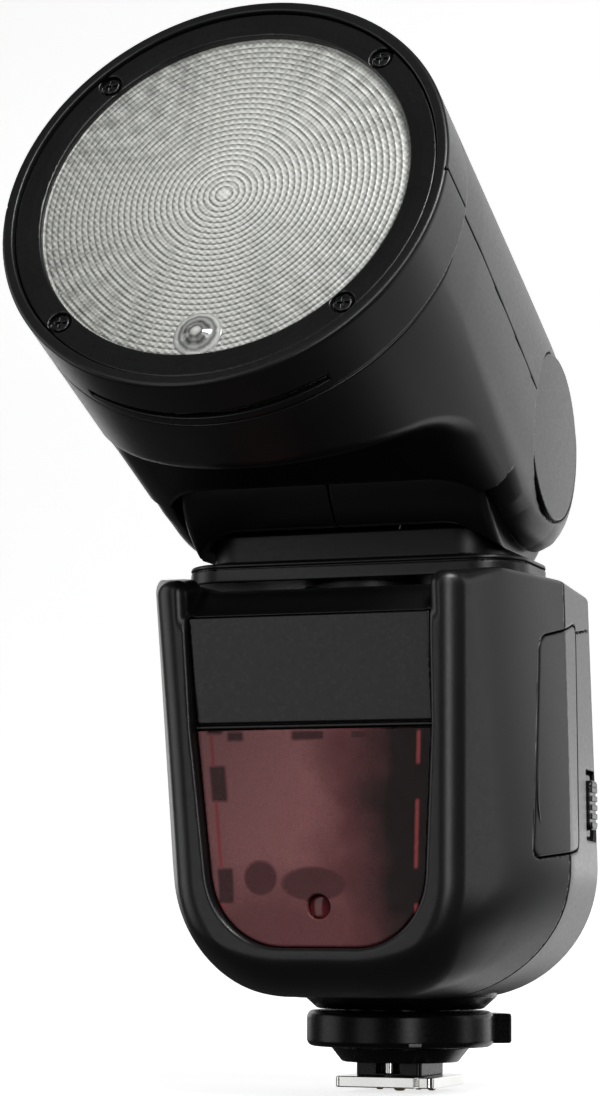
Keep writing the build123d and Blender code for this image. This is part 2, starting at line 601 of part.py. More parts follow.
def head_shells():
    form = head_form()
    cavity = head_form(WALL) - rod_x(TUNNEL_R + TUNNEL_WALL, -40, 40)
    cavity += rod_s(HEAD_R - LIP_T, CYLINDER_BACK, HEAD_FACE + 1)
    shell = form - cavity - head_tunnel()
    slot = rod_s(HEAD_R + 1, SLOT_S - SLOT_W / 2, SLOT_S + SLOT_W / 2)
    slot -= rod_s(HEAD_R - SLOT_DEPTH, SLOT_S - 2, SLOT_S + 2)
    spread = 60.0
    half = radians(SLOT_SPAN / 2)
    sector = [(0, 0), (-spread * sin(half), -spread * cos(half)), (spread * sin(half), -spread * cos(half))]
    shell -= slot & slab_y(sector, -SLOT_S - 3, -SLOT_S + 3)
    for side in (-1, 1):
        x0, x1 = sorted((side * (EAR_X - 1.0), side * 40))
        shell -= rod_x(HUB_CAP_R + 0.1, x0, x1)
        x0, x1 = sorted((side * 20, side * 40))
        shell -= rod_x(TILT_PIN_R, x0, x1)
    top = shell & box(-50, 50, -100, 50, 0, 60)
    bottom = shell & box(-50, 50, -100, 50, -60, 0)
    return largest(top), largest(bottom)


def hub_caps():
    caps = []
    for side in (-1, 1):
        x0, x1 = sorted((side * (EAR_X - 1.0), side * (EAR_X + 0.2)))
        caps.append(rod_x(HUB_CAP_R, x0, x1))
    return caps


def tilt_pins():
    pins = []
    for side in (-1, 1):
        x0, x1 = sorted((side * (BARREL_W - 4.5), side * (EAR_X - 1.0)))
        pins.append(rod_x(TILT_PIN_R, x0, x1) - rod_x(3.0, x0 - 1, x1 + 1))
    return pins


def ring_s(r0, r1, s0, s1):
    return rod_s(r1, s0, s1) - rod_s(r0, s0 - 1, s1 + 1)


def screw_spots():
    return [(SCREW_PCD_R * cos(radians(a)), SCREW_PCD_R * sin(radians(a))) for a in (45, 135, 225, 315)]


def bezel_screws():
    screws = []
    for x, v in screw_spots():
        screws.append(rod_s(1.45, 77.6, 78.5, x, v) + rod_s(0.8, 72.6, 77.6, x, v))
    return screws


def bezel_ring():
    bezel = ring_s(BEZEL_IN, BEZEL_OUT, 76.6, 78.7)
    for x, v in screw_spots():
        bezel -= rod_s(1.45, 77.6, 80, x, v)
        bezel -= rod_s(0.8, 70, 80, x, v)
    return bezel


def lens_seat():
    """Inner ring with four bosses that the bezel is screwed to."""
    seat = ring_s(33.6, 35.9, 70.0, 76.6)
    for x, v in screw_spots():
        boss = rod_s(2.2, 70.0, 76.6, x, v) & rod_s(35.9, 69, 78)
        seat += boss
    seat -= rod_s(33.4, 74.6, 77)
    for x, v in screw_spots():
        seat -= rod_s(0.8, 69, 80, x, v)
    return largest(seat)


def fresnel_lens():
    lens = rod_s(BEZEL_IN - 0.05, 75.2, 77.4) + rod_s(32.7, 75.2, 76.6)
    for x, v in screw_spots():
        lens -= rod_s(1.0, 70, 80, x, v)
    return lens


def led_lamp():
    """Modelling lamp at the foot of the lens, with a domed optic."""
    base = rod_s(3.9, 64.0, 68.5, 0, -27.2)
    dome = Pos(0, -70.4, -27.2) * Sphere(3.7)
    return base + rod_s(3.7, 68.5, 70.4, 0, -27.2) + dome


def reflector():
    outline = [(7.0, 36.0), (9.0, 36.0), (17.0, 41.0), (22.6, 50.0), (22.6, 53.0), (21.6, 53.0),
               (21.6, 50.4), (16.2, 42.0), (8.0, 37.0), (7.0, 37.0)]
    bowl = Rot(90, 0, 0) * turned(outline)
    return bowl - rod_x(TUBE_R + 0.4, -30, 30, -TUBE_S, 0)


def flash_tube():
    return rod_x(TUBE_R, -TUBE_HALF, TUBE_HALF, -TUBE_S, 0)


def zoom_carriage():
    """Frame behind the reflector: the nut on the lead screw, a guide eye, two shelves for the tube."""
    s0, s1 = CARRIAGE_S0, CARRIAGE_S1
    frame = ring_s(CARRIAGE_IN, CARRIAGE_OUT, s0, s1)
    for side in (-1, 1):
        x0, x1 = sorted((side * 20.5, side * 31.0))
        frame += box(x0, x1, -s1, -s0, DRIVE_V - 3.4, DRIVE_V + 3.4) - rod_s(20.0, s0 - 1, s1 + 2)
        frame -= rod_s(DRIVE_R + PIN_CLEAR, s0 - 1, s1 + 1, side * DRIVE_X, DRIVE_V)
    frame -= rod_x(TUBE_R + 0.4, -30, 30, -TUBE_S, 0)
    frame -= Rot(90, 0, 0) * turned([(0, s0 - 0.1), (17.1, s0 - 0.1), (19.2, s1 + 0.1), (0, s1 + 0.1)])
    for side in (-1, 1):
        x0, x1 = sorted((side * 17.0, side * CARRIAGE_OUT))
        frame += box(x0, x1, -s1, -s0, -2.9, -2.4)
    return largest(frame)


def guide_rod():
    return rod_s(DRIVE_R, 31.0, DRIVE_END, -DRIVE_X, DRIVE_V)


def lead_screw():
    return rod_s(DRIVE_R, 37.0, DRIVE_END, DRIVE_X, DRIVE_V)


def zoom_motor():
    can = rod_s(4.6, 29.0, 36.0, DRIVE_X, DRIVE_V)
    return can - rod_s(1.6, 34.0, 37.0, DRIVE_X, DRIVE_V)


# ---------------------------------------------------------------- write the nodes
def write_foot():
    save("foot_plate", foot_plate())
    save("foot_hub", foot_hub())
    save("foot_screws", *foot_screws())
    save("foot_collar", foot_collar())
    save("lock_ring", lock_ring())
    save("lock_pin", lock_pin())
    save("contact_pin_centre", contact_pin(CENTRE_PIN_R, 0, 0))
    save("contact_pins_rear", *[contact_pin(SIDE_PIN_R, x, y) for x, y in SIDE_PINS])


def write_body():
    front, rear = shell_pair()
    save("front_shell", front)
    save("rear_shell", rear)
    save("shell_screws", *shell_screws())
    save("badge_panel", badge_panel())
    save("red_window", red_window())
    save("window_frame", window_frame())
    save("focus_assist_lamp", focus_assist_lamp())
    save("photo_sensor", photo_sensor())
    save("battery_bay", battery_bay())
    save("battery_contacts", *battery_contacts())
    save("main_board", main_board())
    save("main_capacitor", main_capacitor())
    save("usb_port", usb_port())
    save("sync_jack", sync_jack())
    save("lcd_window", lcd_window())
    save("lcd_module", lcd_module())
    save("swivel_bush", swivel_bush())
    save("port_cover", port_cover())


def write_battery():
    save("battery_case", battery_case())
    save("battery_cells", *battery_cells())
    save("battery_cap", battery_cap())
    save("battery_latch", battery_latch())


def write_controls():
    for number, x in enumerate(KEY_XS, start=1):
        save(f"function_key_{number}", rear_place(rear_key_solid(x, KEY_V, KEY_W, KEY_H)))
    save("mode_key", rear_place(rear_round(-SIDE_KEY_X, MODE_V, SIDE_KEY_R)))
    save("lamp_key", rear_place(rear_round(SIDE_KEY_X, MODE_V, SIDE_KEY_R)))
    save("test_key", rear_place(rear_round(-SIDE_KEY_X, TEST_V, SIDE_KEY_R)))
    save("set_key", rear_place(rear_round(0, DIAL_V, SET_R)))
    save("control_dial", control_dial())
    save("power_switch", power_switch())


def write_neck():
    save("neck_base", neck_base())
    save("swivel_shaft", swivel_shaft())
    save("neck_core", neck_core())
    save("neck_half_right", neck_half(1))
    save("neck_half_left", neck_half(-1))


def write_head():
    top, bottom = head_shells()
    save("head_top_shell", head_place(top))
    save("head_bottom_shell", head_place(bottom))
    save("hub_caps", *[head_place(cap) for cap in hub_caps()])
    save("tilt_pins", *[head_place(pin) for pin in tilt_pins()])
    save("bezel_ring", head_place(bezel_ring()))
    save("bezel_screws", *[head_place(screw) for screw in bezel_screws()])
    save("lens_seat", head_place(lens_seat()))
    save("fresnel_lens", head_place(fresnel_lens()))
    save("led_lamp", head_place(led_lamp()))
    save("reflector", head_place(reflector()))
    save("flash_tube", head_place(flash_tube()))
    save("zoom_carriage", head_place(zoom_carriage()))
    save("lead_screw", head_place(lead_screw()))
    save("zoom_motor", head_place(zoom_motor()))
    save("guide_rod", head_place(guide_rod()))


os.makedirs("parts", exist_ok=True)
write_foot()
write_body()
write_battery()
write_controls()
write_neck()
write_head()
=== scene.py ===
import json
import math

import bpy
import numpy as np
from mathutils import Matrix, Vector


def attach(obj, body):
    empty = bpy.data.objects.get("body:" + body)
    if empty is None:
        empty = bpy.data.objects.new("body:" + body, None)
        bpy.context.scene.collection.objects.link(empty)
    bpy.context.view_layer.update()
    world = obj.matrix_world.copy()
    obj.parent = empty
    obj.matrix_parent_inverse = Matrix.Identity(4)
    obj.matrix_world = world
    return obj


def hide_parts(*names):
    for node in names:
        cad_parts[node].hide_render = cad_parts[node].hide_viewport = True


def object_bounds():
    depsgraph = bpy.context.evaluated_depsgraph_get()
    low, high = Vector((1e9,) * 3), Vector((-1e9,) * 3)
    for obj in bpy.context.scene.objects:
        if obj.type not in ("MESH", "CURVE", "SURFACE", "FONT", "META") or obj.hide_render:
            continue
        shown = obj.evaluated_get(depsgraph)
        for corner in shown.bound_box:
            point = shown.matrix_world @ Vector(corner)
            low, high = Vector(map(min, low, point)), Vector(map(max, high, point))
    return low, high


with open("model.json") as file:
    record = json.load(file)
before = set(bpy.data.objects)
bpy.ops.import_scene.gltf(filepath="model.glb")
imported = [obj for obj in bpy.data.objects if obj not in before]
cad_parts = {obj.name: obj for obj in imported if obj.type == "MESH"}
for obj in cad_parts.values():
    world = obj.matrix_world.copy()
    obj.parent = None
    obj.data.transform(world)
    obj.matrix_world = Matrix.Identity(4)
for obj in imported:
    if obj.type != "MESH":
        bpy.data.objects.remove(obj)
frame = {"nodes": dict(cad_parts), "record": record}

# Looks of the speedlight flash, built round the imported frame.
# Shapes are written as signed distance fields in millimetres and meshed by surface nets.
CAD_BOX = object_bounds()
MM = 0.001
FLOOR_Z = CAD_BOX[0][2]

# Head: its tilt axis, its attitude at rest, and its main radii.
TILT_Y, TILT_Z, TILT = -19.4, 115.25, math.radians(22.7)
COS_T, SIN_T = math.cos(TILT), math.sin(TILT)
HEAD_R, EAR_R, HUB_R = 38, 21.7, 14.85
LAMP_V, LAMP_R = -27.2, 4.1

# Body: wall, centres of the port cover and latch, height of the sensor, centres of the battery cells.
WALL = 2.0
PORT_Y, PORT_Z = -1.5, 61
LATCH_Z = 51
SENSOR_Z = 32
CELL_Y, CELL_ZS = -18.2, (70.2, 51.6)

# Foot: lock ring radius and height.
RING_R, RING_LOW, RING_TOP = 17.1, 7.2, 13.7

# Grid steps of the large housings.
HOUSING_STEP = 0.42


# ---------------------------------------------------------------- fields
def rmax(a, b, r):
    """Intersection of two fields, its edge rounded to radius r."""
    return np.minimum(np.maximum(a, b), -r) + np.hypot(np.maximum(a + r, 0), np.maximum(b + r, 0))


def rmin(a, b, r):
    """Union of two fields, its inner corner filled to radius r."""
    return -rmax(-a, -b, r)


def box2(a, b, half_a, half_b, r):
    """Rounded rectangle in two coordinates, centred on zero."""
    return rmax(abs(a) - half_a, abs(b) - half_b, r)


def slab(a, low, high):
    """Layer between two values of one coordinate."""
    return np.maximum(low - a, a - high)


# ---------------------------------------------------------------- meshing
CORNERS = [(0, 0, 0), (1, 0, 0), (0, 1, 0), (1, 1, 0), (0, 0, 1), (1, 0, 1), (0, 1, 1), (1, 1, 1)]
EDGES = [(0, 1), (2, 3), (4, 5), (6, 7), (0, 2), (1, 3), (4, 6), (5, 7), (0, 4), (1, 5), (2, 6), (3, 7)]


def gradient(field, p, eps=0.02):
    """Slope of a field at each point, by central differences."""
    g = np.empty_like(p)
    for k in range(3):
        step = np.zeros(3)
        step[k] = eps
        g[:, k] = (field(*(p + step).T) - field(*(p - step).T)) / (2 * eps)
    return g


def surface_net(field, low, high, step):
    """Vertices, quads and vertex normals of the zero surface of a field."""
    axes = [np.arange(a, b + step, step) for a, b in zip(low, high)]
    shape = tuple(len(a) for a in axes)
    d = np.ascontiguousarray(np.broadcast_to(field(*np.meshgrid(*axes, indexing="ij", sparse=True)), shape))
    inside = d < 0
    count = sum(inside[i:shape[0] - 1 + i, j:shape[1] - 1 + j, k:shape[2] - 1 + k].astype(np.int8)
                for i, j, k in CORNERS)
    active = (count > 0) & (count < 8)
    cell = np.argwhere(active)
    index = np.full(active.shape, -1, np.int64)
    index[active] = np.arange(len(cell))
    values = np.stack([d[cell[:, 0] + i, cell[:, 1] + j, cell[:, 2] + k] for i, j, k in CORNERS], 1)
    total, hits = np.zeros((len(cell), 3)), np.zeros(len(cell))
    corner = np.array(CORNERS, float)
    for a, b in EDGES:
        cut = (values[:, a] < 0) != (values[:, b] < 0)
        t = values[cut, a] / (values[cut, a] - values[cut, b])
        total[cut] += corner[a] + t[:, None] * (corner[b] - corner[a])
        hits[cut] += 1
    points = (cell + total / hits[:, None]) * step + np.array(low, float)
    quads = []
    for k in range(3):
        i, j = (k + 1) % 3, (k + 2) % 3
        first, second = [slice(None)] * 3, [slice(None)] * 3
        first[k], second[k] = slice(0, -1), slice(1, None)
        cross = inside[tuple(first)] != inside[tuple(second)]
        p = np.argwhere(cross)
        keep = (p[:, i] > 0) & (p[:, j] > 0) & (p[:, i] < shape[i] - 1) & (p[:, j] < shape[j] - 1)
        p = p[keep]
        corners = []
        for di, dj in ((-1, -1), (0, -1), (0, 0), (-1, 0)):
            q = p.copy()
            q[:, i] += di
            q[:, j] += dj
            corners.append(index[q[:, 0], q[:, 1], q[:, 2]])
        quad = np.stack(corners, 1)
        outward = inside[p[:, 0], p[:, 1], p[:, 2]]
        quads.append(np.where(outward[:, None], quad, quad[:, ::-1]))
    quads = np.concatenate(quads)
    for _ in range(3):
        g = gradient(field, points)
        size = np.maximum((g * g).sum(1), 0.05)
        move = -(field(*points.T) / size)[:, None] * g
        length = np.linalg.norm(move, axis=1, keepdims=True)
        points = points + move * np.minimum(1, 0.5 * step / np.maximum(length, 1e-9))
    g = gradient(field, points, 0.06)
    normals = g / np.maximum(np.linalg.norm(g, axis=1, keepdims=True), 1e-9)
    return drop_crumbs(points, quads, normals)


def drop_crumbs(points, quads, normals, share=0.01):
    """Leave out loose specks that a thin field can leave behind."""
    label = np.arange(len(points))
    while True:
        low = label[quads].min(1)
        new = label.copy()
        for k in range(4):
            np.minimum.at(new, quads[:, k], low)
        new = new[new]
        if (new == label).all():
            break
        label = new
    of_quad = label[quads[:, 0]]
    names, sizes = np.unique(of_quad, return_counts=True)
    quads = quads[np.isin(of_quad, names[sizes >= share * len(quads)])]
    used, flat = np.unique(quads, return_inverse=True)
    return points[used], flat.reshape(-1, 4), normals[used]


def head_to_world(p):
    """From the head's own frame (x, minus s, v) to its rest place."""
    y = TILT_Y + p[:, 1] * COS_T + p[:, 2] * SIN_T
    z = TILT_Z - p[:, 1] * SIN_T + p[:, 2] * COS_T
    return np.stack([p[:, 0], y, z], 1)


def turn_to_world(n):
    """The same turn for directions."""
    return head_to_world(n) - np.array([0, TILT_Y, TILT_Z])


def add_mesh(name, points, faces, material, body, replaces=(), normals=None, smooth=True):
    """Make one piece from points in millimetres, and put it on its body."""
    mesh = bpy.data.meshes.new(name)
    faces = np.asarray(faces)
    mesh.vertices.add(len(points))
    mesh.vertices.foreach_set("co", (np.asarray(points) * MM).astype(np.float32).ravel())
    sides = faces.shape[1]
    mesh.loops.add(faces.size)
    mesh.loops.foreach_set("vertex_index", faces.astype(np.int32).ravel())
    mesh.polygons.add(len(faces))
    mesh.polygons.foreach_set("loop_start", np.arange(0, faces.size, sides, dtype=np.int32))
    mesh.polygons.foreach_set("use_smooth", np.full(len(faces), smooth))
    mesh.update(calc_edges=True)
    mesh.validate()
    if normals is not None:
        mesh.normals_split_custom_set_from_vertices(normals.astype(np.float32).tolist())
    piece = bpy.data.objects.new(name, mesh)
    bpy.context.scene.collection.objects.link(piece)
    mesh.materials.append(material)
    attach(piece, body)
    if replaces:
        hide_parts(*replaces)
    return piece


def solid(name, field, low, high, step, material, body, replaces=(), in_head=False, shift=(0, 0, 0)):
    """Mesh a field and make it a piece; a head piece's field is in the head's own frame."""
    points, quads, normals = surface_net(field, low, high, step)
    points = points + np.array(shift, float)
    if in_head:
        points, normals = head_to_world(points), turn_to_world(normals)
    return add_mesh(name, points, quads, material, body, replaces, normals)


# ---------------------------------------------------------------- materials
class Recipe:
    """A node material under construction."""

    def __init__(self, name):
        self.material = bpy.data.materials.new(name)
        self.material.use_nodes = True
        self.tree = self.material.node_tree
        self.shader = self.tree.nodes["Principled BSDF"]
        self.place = self.add("ShaderNodeTexCoord").outputs["Object"]

    def add(self, kind, **values):
        node = self.tree.nodes.new(kind)
        for key, value in values.items():
            setattr(node, key, value)
        return node

    def link(self, source, target):
        self.tree.links.new(source, target)

    def noise(self, scale, detail=2.0, stretch=None, rough=0.5):
        node = self.add("ShaderNodeTexNoise")
        node.inputs["Scale"].default_value = scale
        node.inputs["Detail"].default_value = detail
        node.inputs["Roughness"].default_value = rough
        source = self.place
        if stretch:
            mapping = self.add("ShaderNodeMapping")
            mapping.inputs["Scale"].default_value = stretch
            self.link(source, mapping.inputs["Vector"])
            source = mapping.outputs["Vector"]
        self.link(source, node.inputs["Vector"])
        return node.outputs["Fac"]

    def spread(self, source, low, high, start=0.3, end=0.7):
        node = self.add("ShaderNodeMapRange")
        for key, value in (("From Min", start), ("From Max", end), ("To Min", low), ("To Max", high)):
            node.inputs[key].default_value = value
        self.link(source, node.inputs["Value"])
        return node.outputs["Result"]

    def ramp(self, source, *stops):
        node = self.add("ShaderNodeValToRGB")
        elements = node.color_ramp.elements
        while len(elements) < len(stops):
            elements.new(0.5)
        for element, (at, colour) in zip(elements, stops):
            element.position, element.color = at, (*colour, 1)
        self.link(source, node.inputs["Fac"])
        return node.outputs["Color"]

    def maths(self, operation, a, b=None):
        node = self.add("ShaderNodeMath", operation=operation)
        for socket, value in zip(node.inputs, (a, b)):
            if value is None:
                continue
            if isinstance(value, (int, float)):
                socket.default_value = value
            else:
                self.link(value, socket)
        return node.outputs["Value"]

    def bump(self, source, strength, distance):
        node = self.add("ShaderNodeBump")
        node.inputs["Strength"].default_value = strength
        node.inputs["Distance"].default_value = distance
        self.link(source, node.inputs["Height"])
        self.link(node.outputs["Normal"], self.shader.inputs["Normal"])

    def split(self):
        node = self.add("ShaderNodeSeparateXYZ")
        self.link(self.place, node.inputs["Vector"])
        return node.outputs

    def head_up(self, y, z):
        """Distance above the head's axis, measured in the lens plane."""
        return self.maths("ADD", self.maths("MULTIPLY", self.maths("SUBTRACT", y, TILT_Y * MM), SIN_T),
                          self.maths("MULTIPLY", self.maths("SUBTRACT", z, TILT_Z * MM), COS_T))

    def length(self, a, b):
        """Distance from the origin of two coordinates."""
        squares = [self.maths("MULTIPLY", value, value) for value in (a, b)]
        return self.maths("SQRT", self.maths("ADD", *squares))

    def set(self, **values):
        for key, value in values.items():
            self.shader.inputs[key.replace("_", " ")].default_value = value


def shaded(colour, share):
    """A colour made lighter or darker by a share."""
    return tuple(min(1.0, c * share) for c in colour)


def finish_of(name, colour, rough, metal=0.0, grain=0.3, grain_scale=2600.0, spread=0.035, stretch=None,
              cloud=70.0, vary=0.16):
    """Base recipe: clouded colour, wandering roughness and a fine moulded or ground grain."""
    r = Recipe(name)
    r.link(r.ramp(r.noise(cloud, 4.0), (0.3, shaded(colour, 1 - vary)), (0.7, shaded(colour, 1 + vary))),
           r.shader.inputs["Base Color"])
    r.link(r.spread(r.noise(cloud * 20, 5.0, stretch), rough - spread, rough + spread),
           r.shader.inputs["Roughness"])
    r.bump(r.noise(grain_scale, 3.0, stretch), grain, 0.00004)
    r.set(Metallic=metal)
    return r


def make_materials():
    """One material for each slot of the record."""
    made = {
        "shell_plastic": finish_of("shell_black", (0.0085, 0.0085, 0.0092), 0.34, grain=0.16,
                                   grain_scale=3400),
        "smooth_plastic": finish_of("satin_black", (0.008, 0.008, 0.0086), 0.30, grain=0.015,
                                    grain_scale=4200),
        "core_plastic": finish_of("core_black", (0.006, 0.006, 0.0065), 0.45, grain=0.25),
        "foot_steel": finish_of("polished_steel", (0.78, 0.78, 0.76), 0.20, metal=1.0, grain=0.12,
                                grain_scale=900, stretch=(8, 0.4, 1), cloud=90, vary=0.06),
        "screw_steel": finish_of("black_oxide", (0.06, 0.06, 0.062), 0.34, metal=1.0, grain=0.2),
        "contact_metal": finish_of("plated_contact", (0.80, 0.62, 0.30), 0.24, metal=1.0, grain=0.1),
        "reflector_metal": finish_of("bright_reflector", (0.90, 0.90, 0.89), 0.16, metal=1.0, grain=0.2,
                                     grain_scale=700),
        "rubber": finish_of("soft_rubber", (0.016, 0.016, 0.017), 0.62, grain=0.4, grain_scale=1800),
        "board": finish_of("solder_mask", (0.02, 0.10, 0.05), 0.4, grain=0.3, grain_scale=1200),
        "can": finish_of("capacitor_sleeve", (0.03, 0.03, 0.045), 0.3, grain=0.1),
        "cell_wrap": finish_of("cell_wrap", (0.10, 0.28, 0.24), 0.32, grain=0.08),
        "display_panel": finish_of("display_panel", (0.25, 0.29, 0.24), 0.35, grain=0.05),
    }
    glass = finish_of("display_glass", (0.012, 0.014, 0.015), 0.09, grain=0.02, spread=0.02)
    glass.set(Coat_Weight=0.6, Coat_Roughness=0.04)
    made["display_glass"] = glass
    made["lamp_optic"] = lamp_dome()
    made["red_acrylic"] = red_acrylic()
    made["clear_lens"] = prismatic_lens()
    return {slot: recipe.material for slot, recipe in made.items()}


def lamp_dome():
    """Small moulded dome: painted rings with a bright rim and a painted highlight at the eye, dark ring
    between them.
    """
    r = Recipe("lamp_dome")
    x, y, z = r.split()
    above = r.maths("SUBTRACT", r.head_up(y, z), LAMP_V * MM)
    across = r.spread(r.length(x, above), 0.0, 1.0, 0.0, LAMP_R * MM)
    across = r.maths("ADD", across, r.spread(r.noise(900, 2.0), -0.03, 0.03))
    # The bright eye at the centre is a painted highlight; the rings round it are the dome's own pattern.
    r.link(r.ramp(across, (0.0, (0.88, 0.89, 0.85)), (0.16, (0.60, 0.61, 0.58)), (0.24, (0.10, 0.10, 0.10)),
                  (0.36, (0.30, 0.30, 0.29)), (0.48, (0.07, 0.07, 0.07)), (0.62, (0.45, 0.46, 0.44)),
                  (0.74, (0.16, 0.16, 0.155)), (0.86, (0.72, 0.73, 0.70)), (1.0, (0.34, 0.34, 0.33))),
           r.shader.inputs["Base Color"])
    r.link(r.spread(r.noise(500, 2.0), 0.05, 0.12), r.shader.inputs["Roughness"])
    r.bump(r.noise(900, 2.0), 0.05, 0.00004)
    r.set(Alpha=0.9, IOR=1.5, Coat_Weight=1.0, Coat_Roughness=0.03)
    return r


def red_acrylic():
    """Deep red window: a frosted plate in a tabbed frame shows through, fading out towards +X."""
    r = Recipe("red_acrylic")
    x, _, z = r.split()
    across = r.maths("ABSOLUTE", x)

    def between(source, low, high, soft=0.0003):
        rise = r.spread(source, 0.0, 1.0, low - soft, low + soft)
        fall = r.spread(source, 1.0, 0.0, high - soft, high + soft)
        return r.maths("MULTIPLY", rise, fall)

    def any_of(*masks):
        total = masks[0]
        for mask in masks[1:]:
            total = r.maths("MAXIMUM", total, mask)
        return total

    def spot(cx, cz, wide, tall, soft=0.25):
        u = r.maths("DIVIDE", r.maths("SUBTRACT", x, cx), wide)
        v = r.maths("DIVIDE", r.maths("SUBTRACT", z, cz), tall)
        far = r.maths("ADD", r.maths("MULTIPLY", u, u), r.maths("MULTIPLY", v, v))
        return r.spread(far, 1.0, 0.0, 1 - soft, 1 + soft)

    margin = r.maths("SUBTRACT", r.spread(z, 0.0188, 0.0202, 0.036, 0.0623), across)
    windows = any_of(between(z, 0.0560, 0.0615), between(z, 0.0385, 0.0500), between(z, 0.0265, 0.0325))
    tabs = r.maths("MULTIPLY", between(margin, 0.0006, 0.0034), r.maths("SUBTRACT", 1.0, windows))
    upper_row = any_of(between(x, -0.0158, -0.0130), between(x, -0.0040, 0.0018), between(x, 0.0066, 0.0098))
    top_tabs = r.maths("MULTIPLY", between(z, 0.0603, 0.0618), upper_row)
    bars = r.maths("MULTIPLY", between(margin, 0.0010, 0.0016, 0.0002), windows)
    modules = any_of(spot(-0.0104, 0.0368, 0.0030, 0.0030), spot(-0.0006, 0.0358, 0.0062, 0.0030))
    wander = r.spread(r.noise(90, 4.0), -0.0025, 0.0025)
    shade = r.spread(r.maths("ADD", x, wander), 0.0, 1.0, -0.002, 0.0135)
    low = r.spread(r.maths("ADD", z, wander), 0.40, 0.0, 0.030, 0.043)
    shade = any_of(shade, low, r.maths("MULTIPLY", any_of(tabs, top_tabs), 0.80),
                   r.maths("MULTIPLY", modules, 0.66))
    tone = r.ramp(shade, (0.0, (0.300, 0.115, 0.120)), (0.45, (0.140, 0.041, 0.045)),
                  (1.0, (0.0085, 0.0014, 0.0018)))
    speck = r.spread(r.noise(5200, 2.0), 0.80, 1.22)
    grained = r.add("ShaderNodeVectorMath", operation="SCALE")
    r.link(tone, grained.inputs[0])
    r.link(speck, grained.inputs["Scale"])
    mix = r.add("ShaderNodeMix", data_type="RGBA")
    r.link(bars, mix.inputs[0])
    r.link(grained.outputs[0], mix.inputs[6])
    mix.inputs[7].default_value = (0.33, 0.052, 0.058, 1)
    r.link(mix.outputs[2], r.shader.inputs["Base Color"])
    r.link(r.spread(r.noise(300, 4.0), 0.22, 0.30), r.shader.inputs["Roughness"])
    r.bump(r.noise(5200, 2.0), 0.05, 0.00003)
    r.set(Alpha=0.92, IOR=1.45, Specular_IOR_Level=0.28)
    return r


def prismatic_lens():
    """Silvery pressed lens: fine square prisms and rings that beat against each other, with a painted cross
    highlight and a painted highlight towards the lower right.
    """
    r = Recipe("prismatic_lens")
    x, y, z = r.split()
    up = r.head_up(y, z)
    across, along = r.maths("ABSOLUTE", x), r.maths("ABSOLUTE", up)
    radius = r.length(x, up)

    def wave(source, pitch):
        return r.maths("SINE", r.maths("MULTIPLY", source, 2 * math.pi / pitch))

    def prisms(pitch):
        return r.maths("MULTIPLY", wave(x, pitch), wave(up, pitch))

    grid, fine_grid, rings = prisms(0.00118), prisms(0.00092), wave(radius, 0.00105)
    edge = r.spread(radius, 0.0, 1.0, 0.004, 0.031)
    beats = [wave(r.maths("SUBTRACT", radius, reach), 0.0031) for reach in (across, along)]
    fan = r.maths("MULTIPLY", r.maths("ADD", *beats), edge)
    # Painted highlight: bright bands along the lens's two axes, added to the colour level below.
    cross = r.maths("MAXIMUM", *(r.spread(reach, 1.0, 0.0, 0.0, 0.0060) for reach in (across, along)))
    # Painted highlight: the colour grows lighter towards the lower right of the lens.
    painted_highlight_low_right = r.spread(r.maths("SUBTRACT", x, up), -0.05, 0.16, -0.03, 0.036)
    level = r.maths("SUBTRACT", 0.84, r.maths("MULTIPLY", edge, 0.18))
    for pattern, share in ((cross, 0.07), (fan, 0.065), (grid, 0.13), (fine_grid, 0.05), (rings, 0.015)):
        level = r.maths("ADD", level, r.maths("MULTIPLY", pattern, share))
    level = r.maths("ADD", level, painted_highlight_low_right)
    level = r.maths("ADD", level, r.spread(r.noise(60, 4.0), -0.05, 0.05))
    r.link(r.ramp(level, (0.0, (0.06, 0.06, 0.06)), (0.35, (0.30, 0.305, 0.295)), (0.7, (0.66, 0.675, 0.63)),
                  (1.0, (0.93, 0.94, 0.90))), r.shader.inputs["Base Color"])
    r.link(r.spread(r.noise(260, 3.0), 0.18, 0.30), r.shader.inputs["Roughness"])
    r.bump(r.maths("ADD", grid, r.maths("MULTIPLY", rings, 0.25)), 0.45, 0.00012)
    r.set(Alpha=0.96, IOR=1.5, Coat_Weight=0.6, Coat_Roughness=0.05)
    return r


MATERIALS = make_materials()


def plain_recipe(name, colour, rough, metal=0.0):
    return finish_of(name, colour, rough, metal=metal, grain=0.1).material


INDEX_GREY = plain_recipe("index_paint", (0.42, 0.42, 0.41), 0.5)
FROST = plain_recipe("frosted_plate", (0.42, 0.30, 0.30), 0.55)
DARK_GLASS = plain_recipe("sensor_glass", (0.10, 0.012, 0.014), 0.12)
FOOT_BLACK = finish_of("foot_black", (0.005, 0.005, 0.0055), 0.28, grain=0.05)
FOOT_BLACK.set(Specular_IOR_Level=0.2)


# ---------------------------------------------------------------- body housing
def parting(z):
    """Where the front and rear shells meet."""
    return -14.8 - 0.0896 * (z - 33.5) - 0.018 * np.maximum(33.5 - z, 0) ** 2


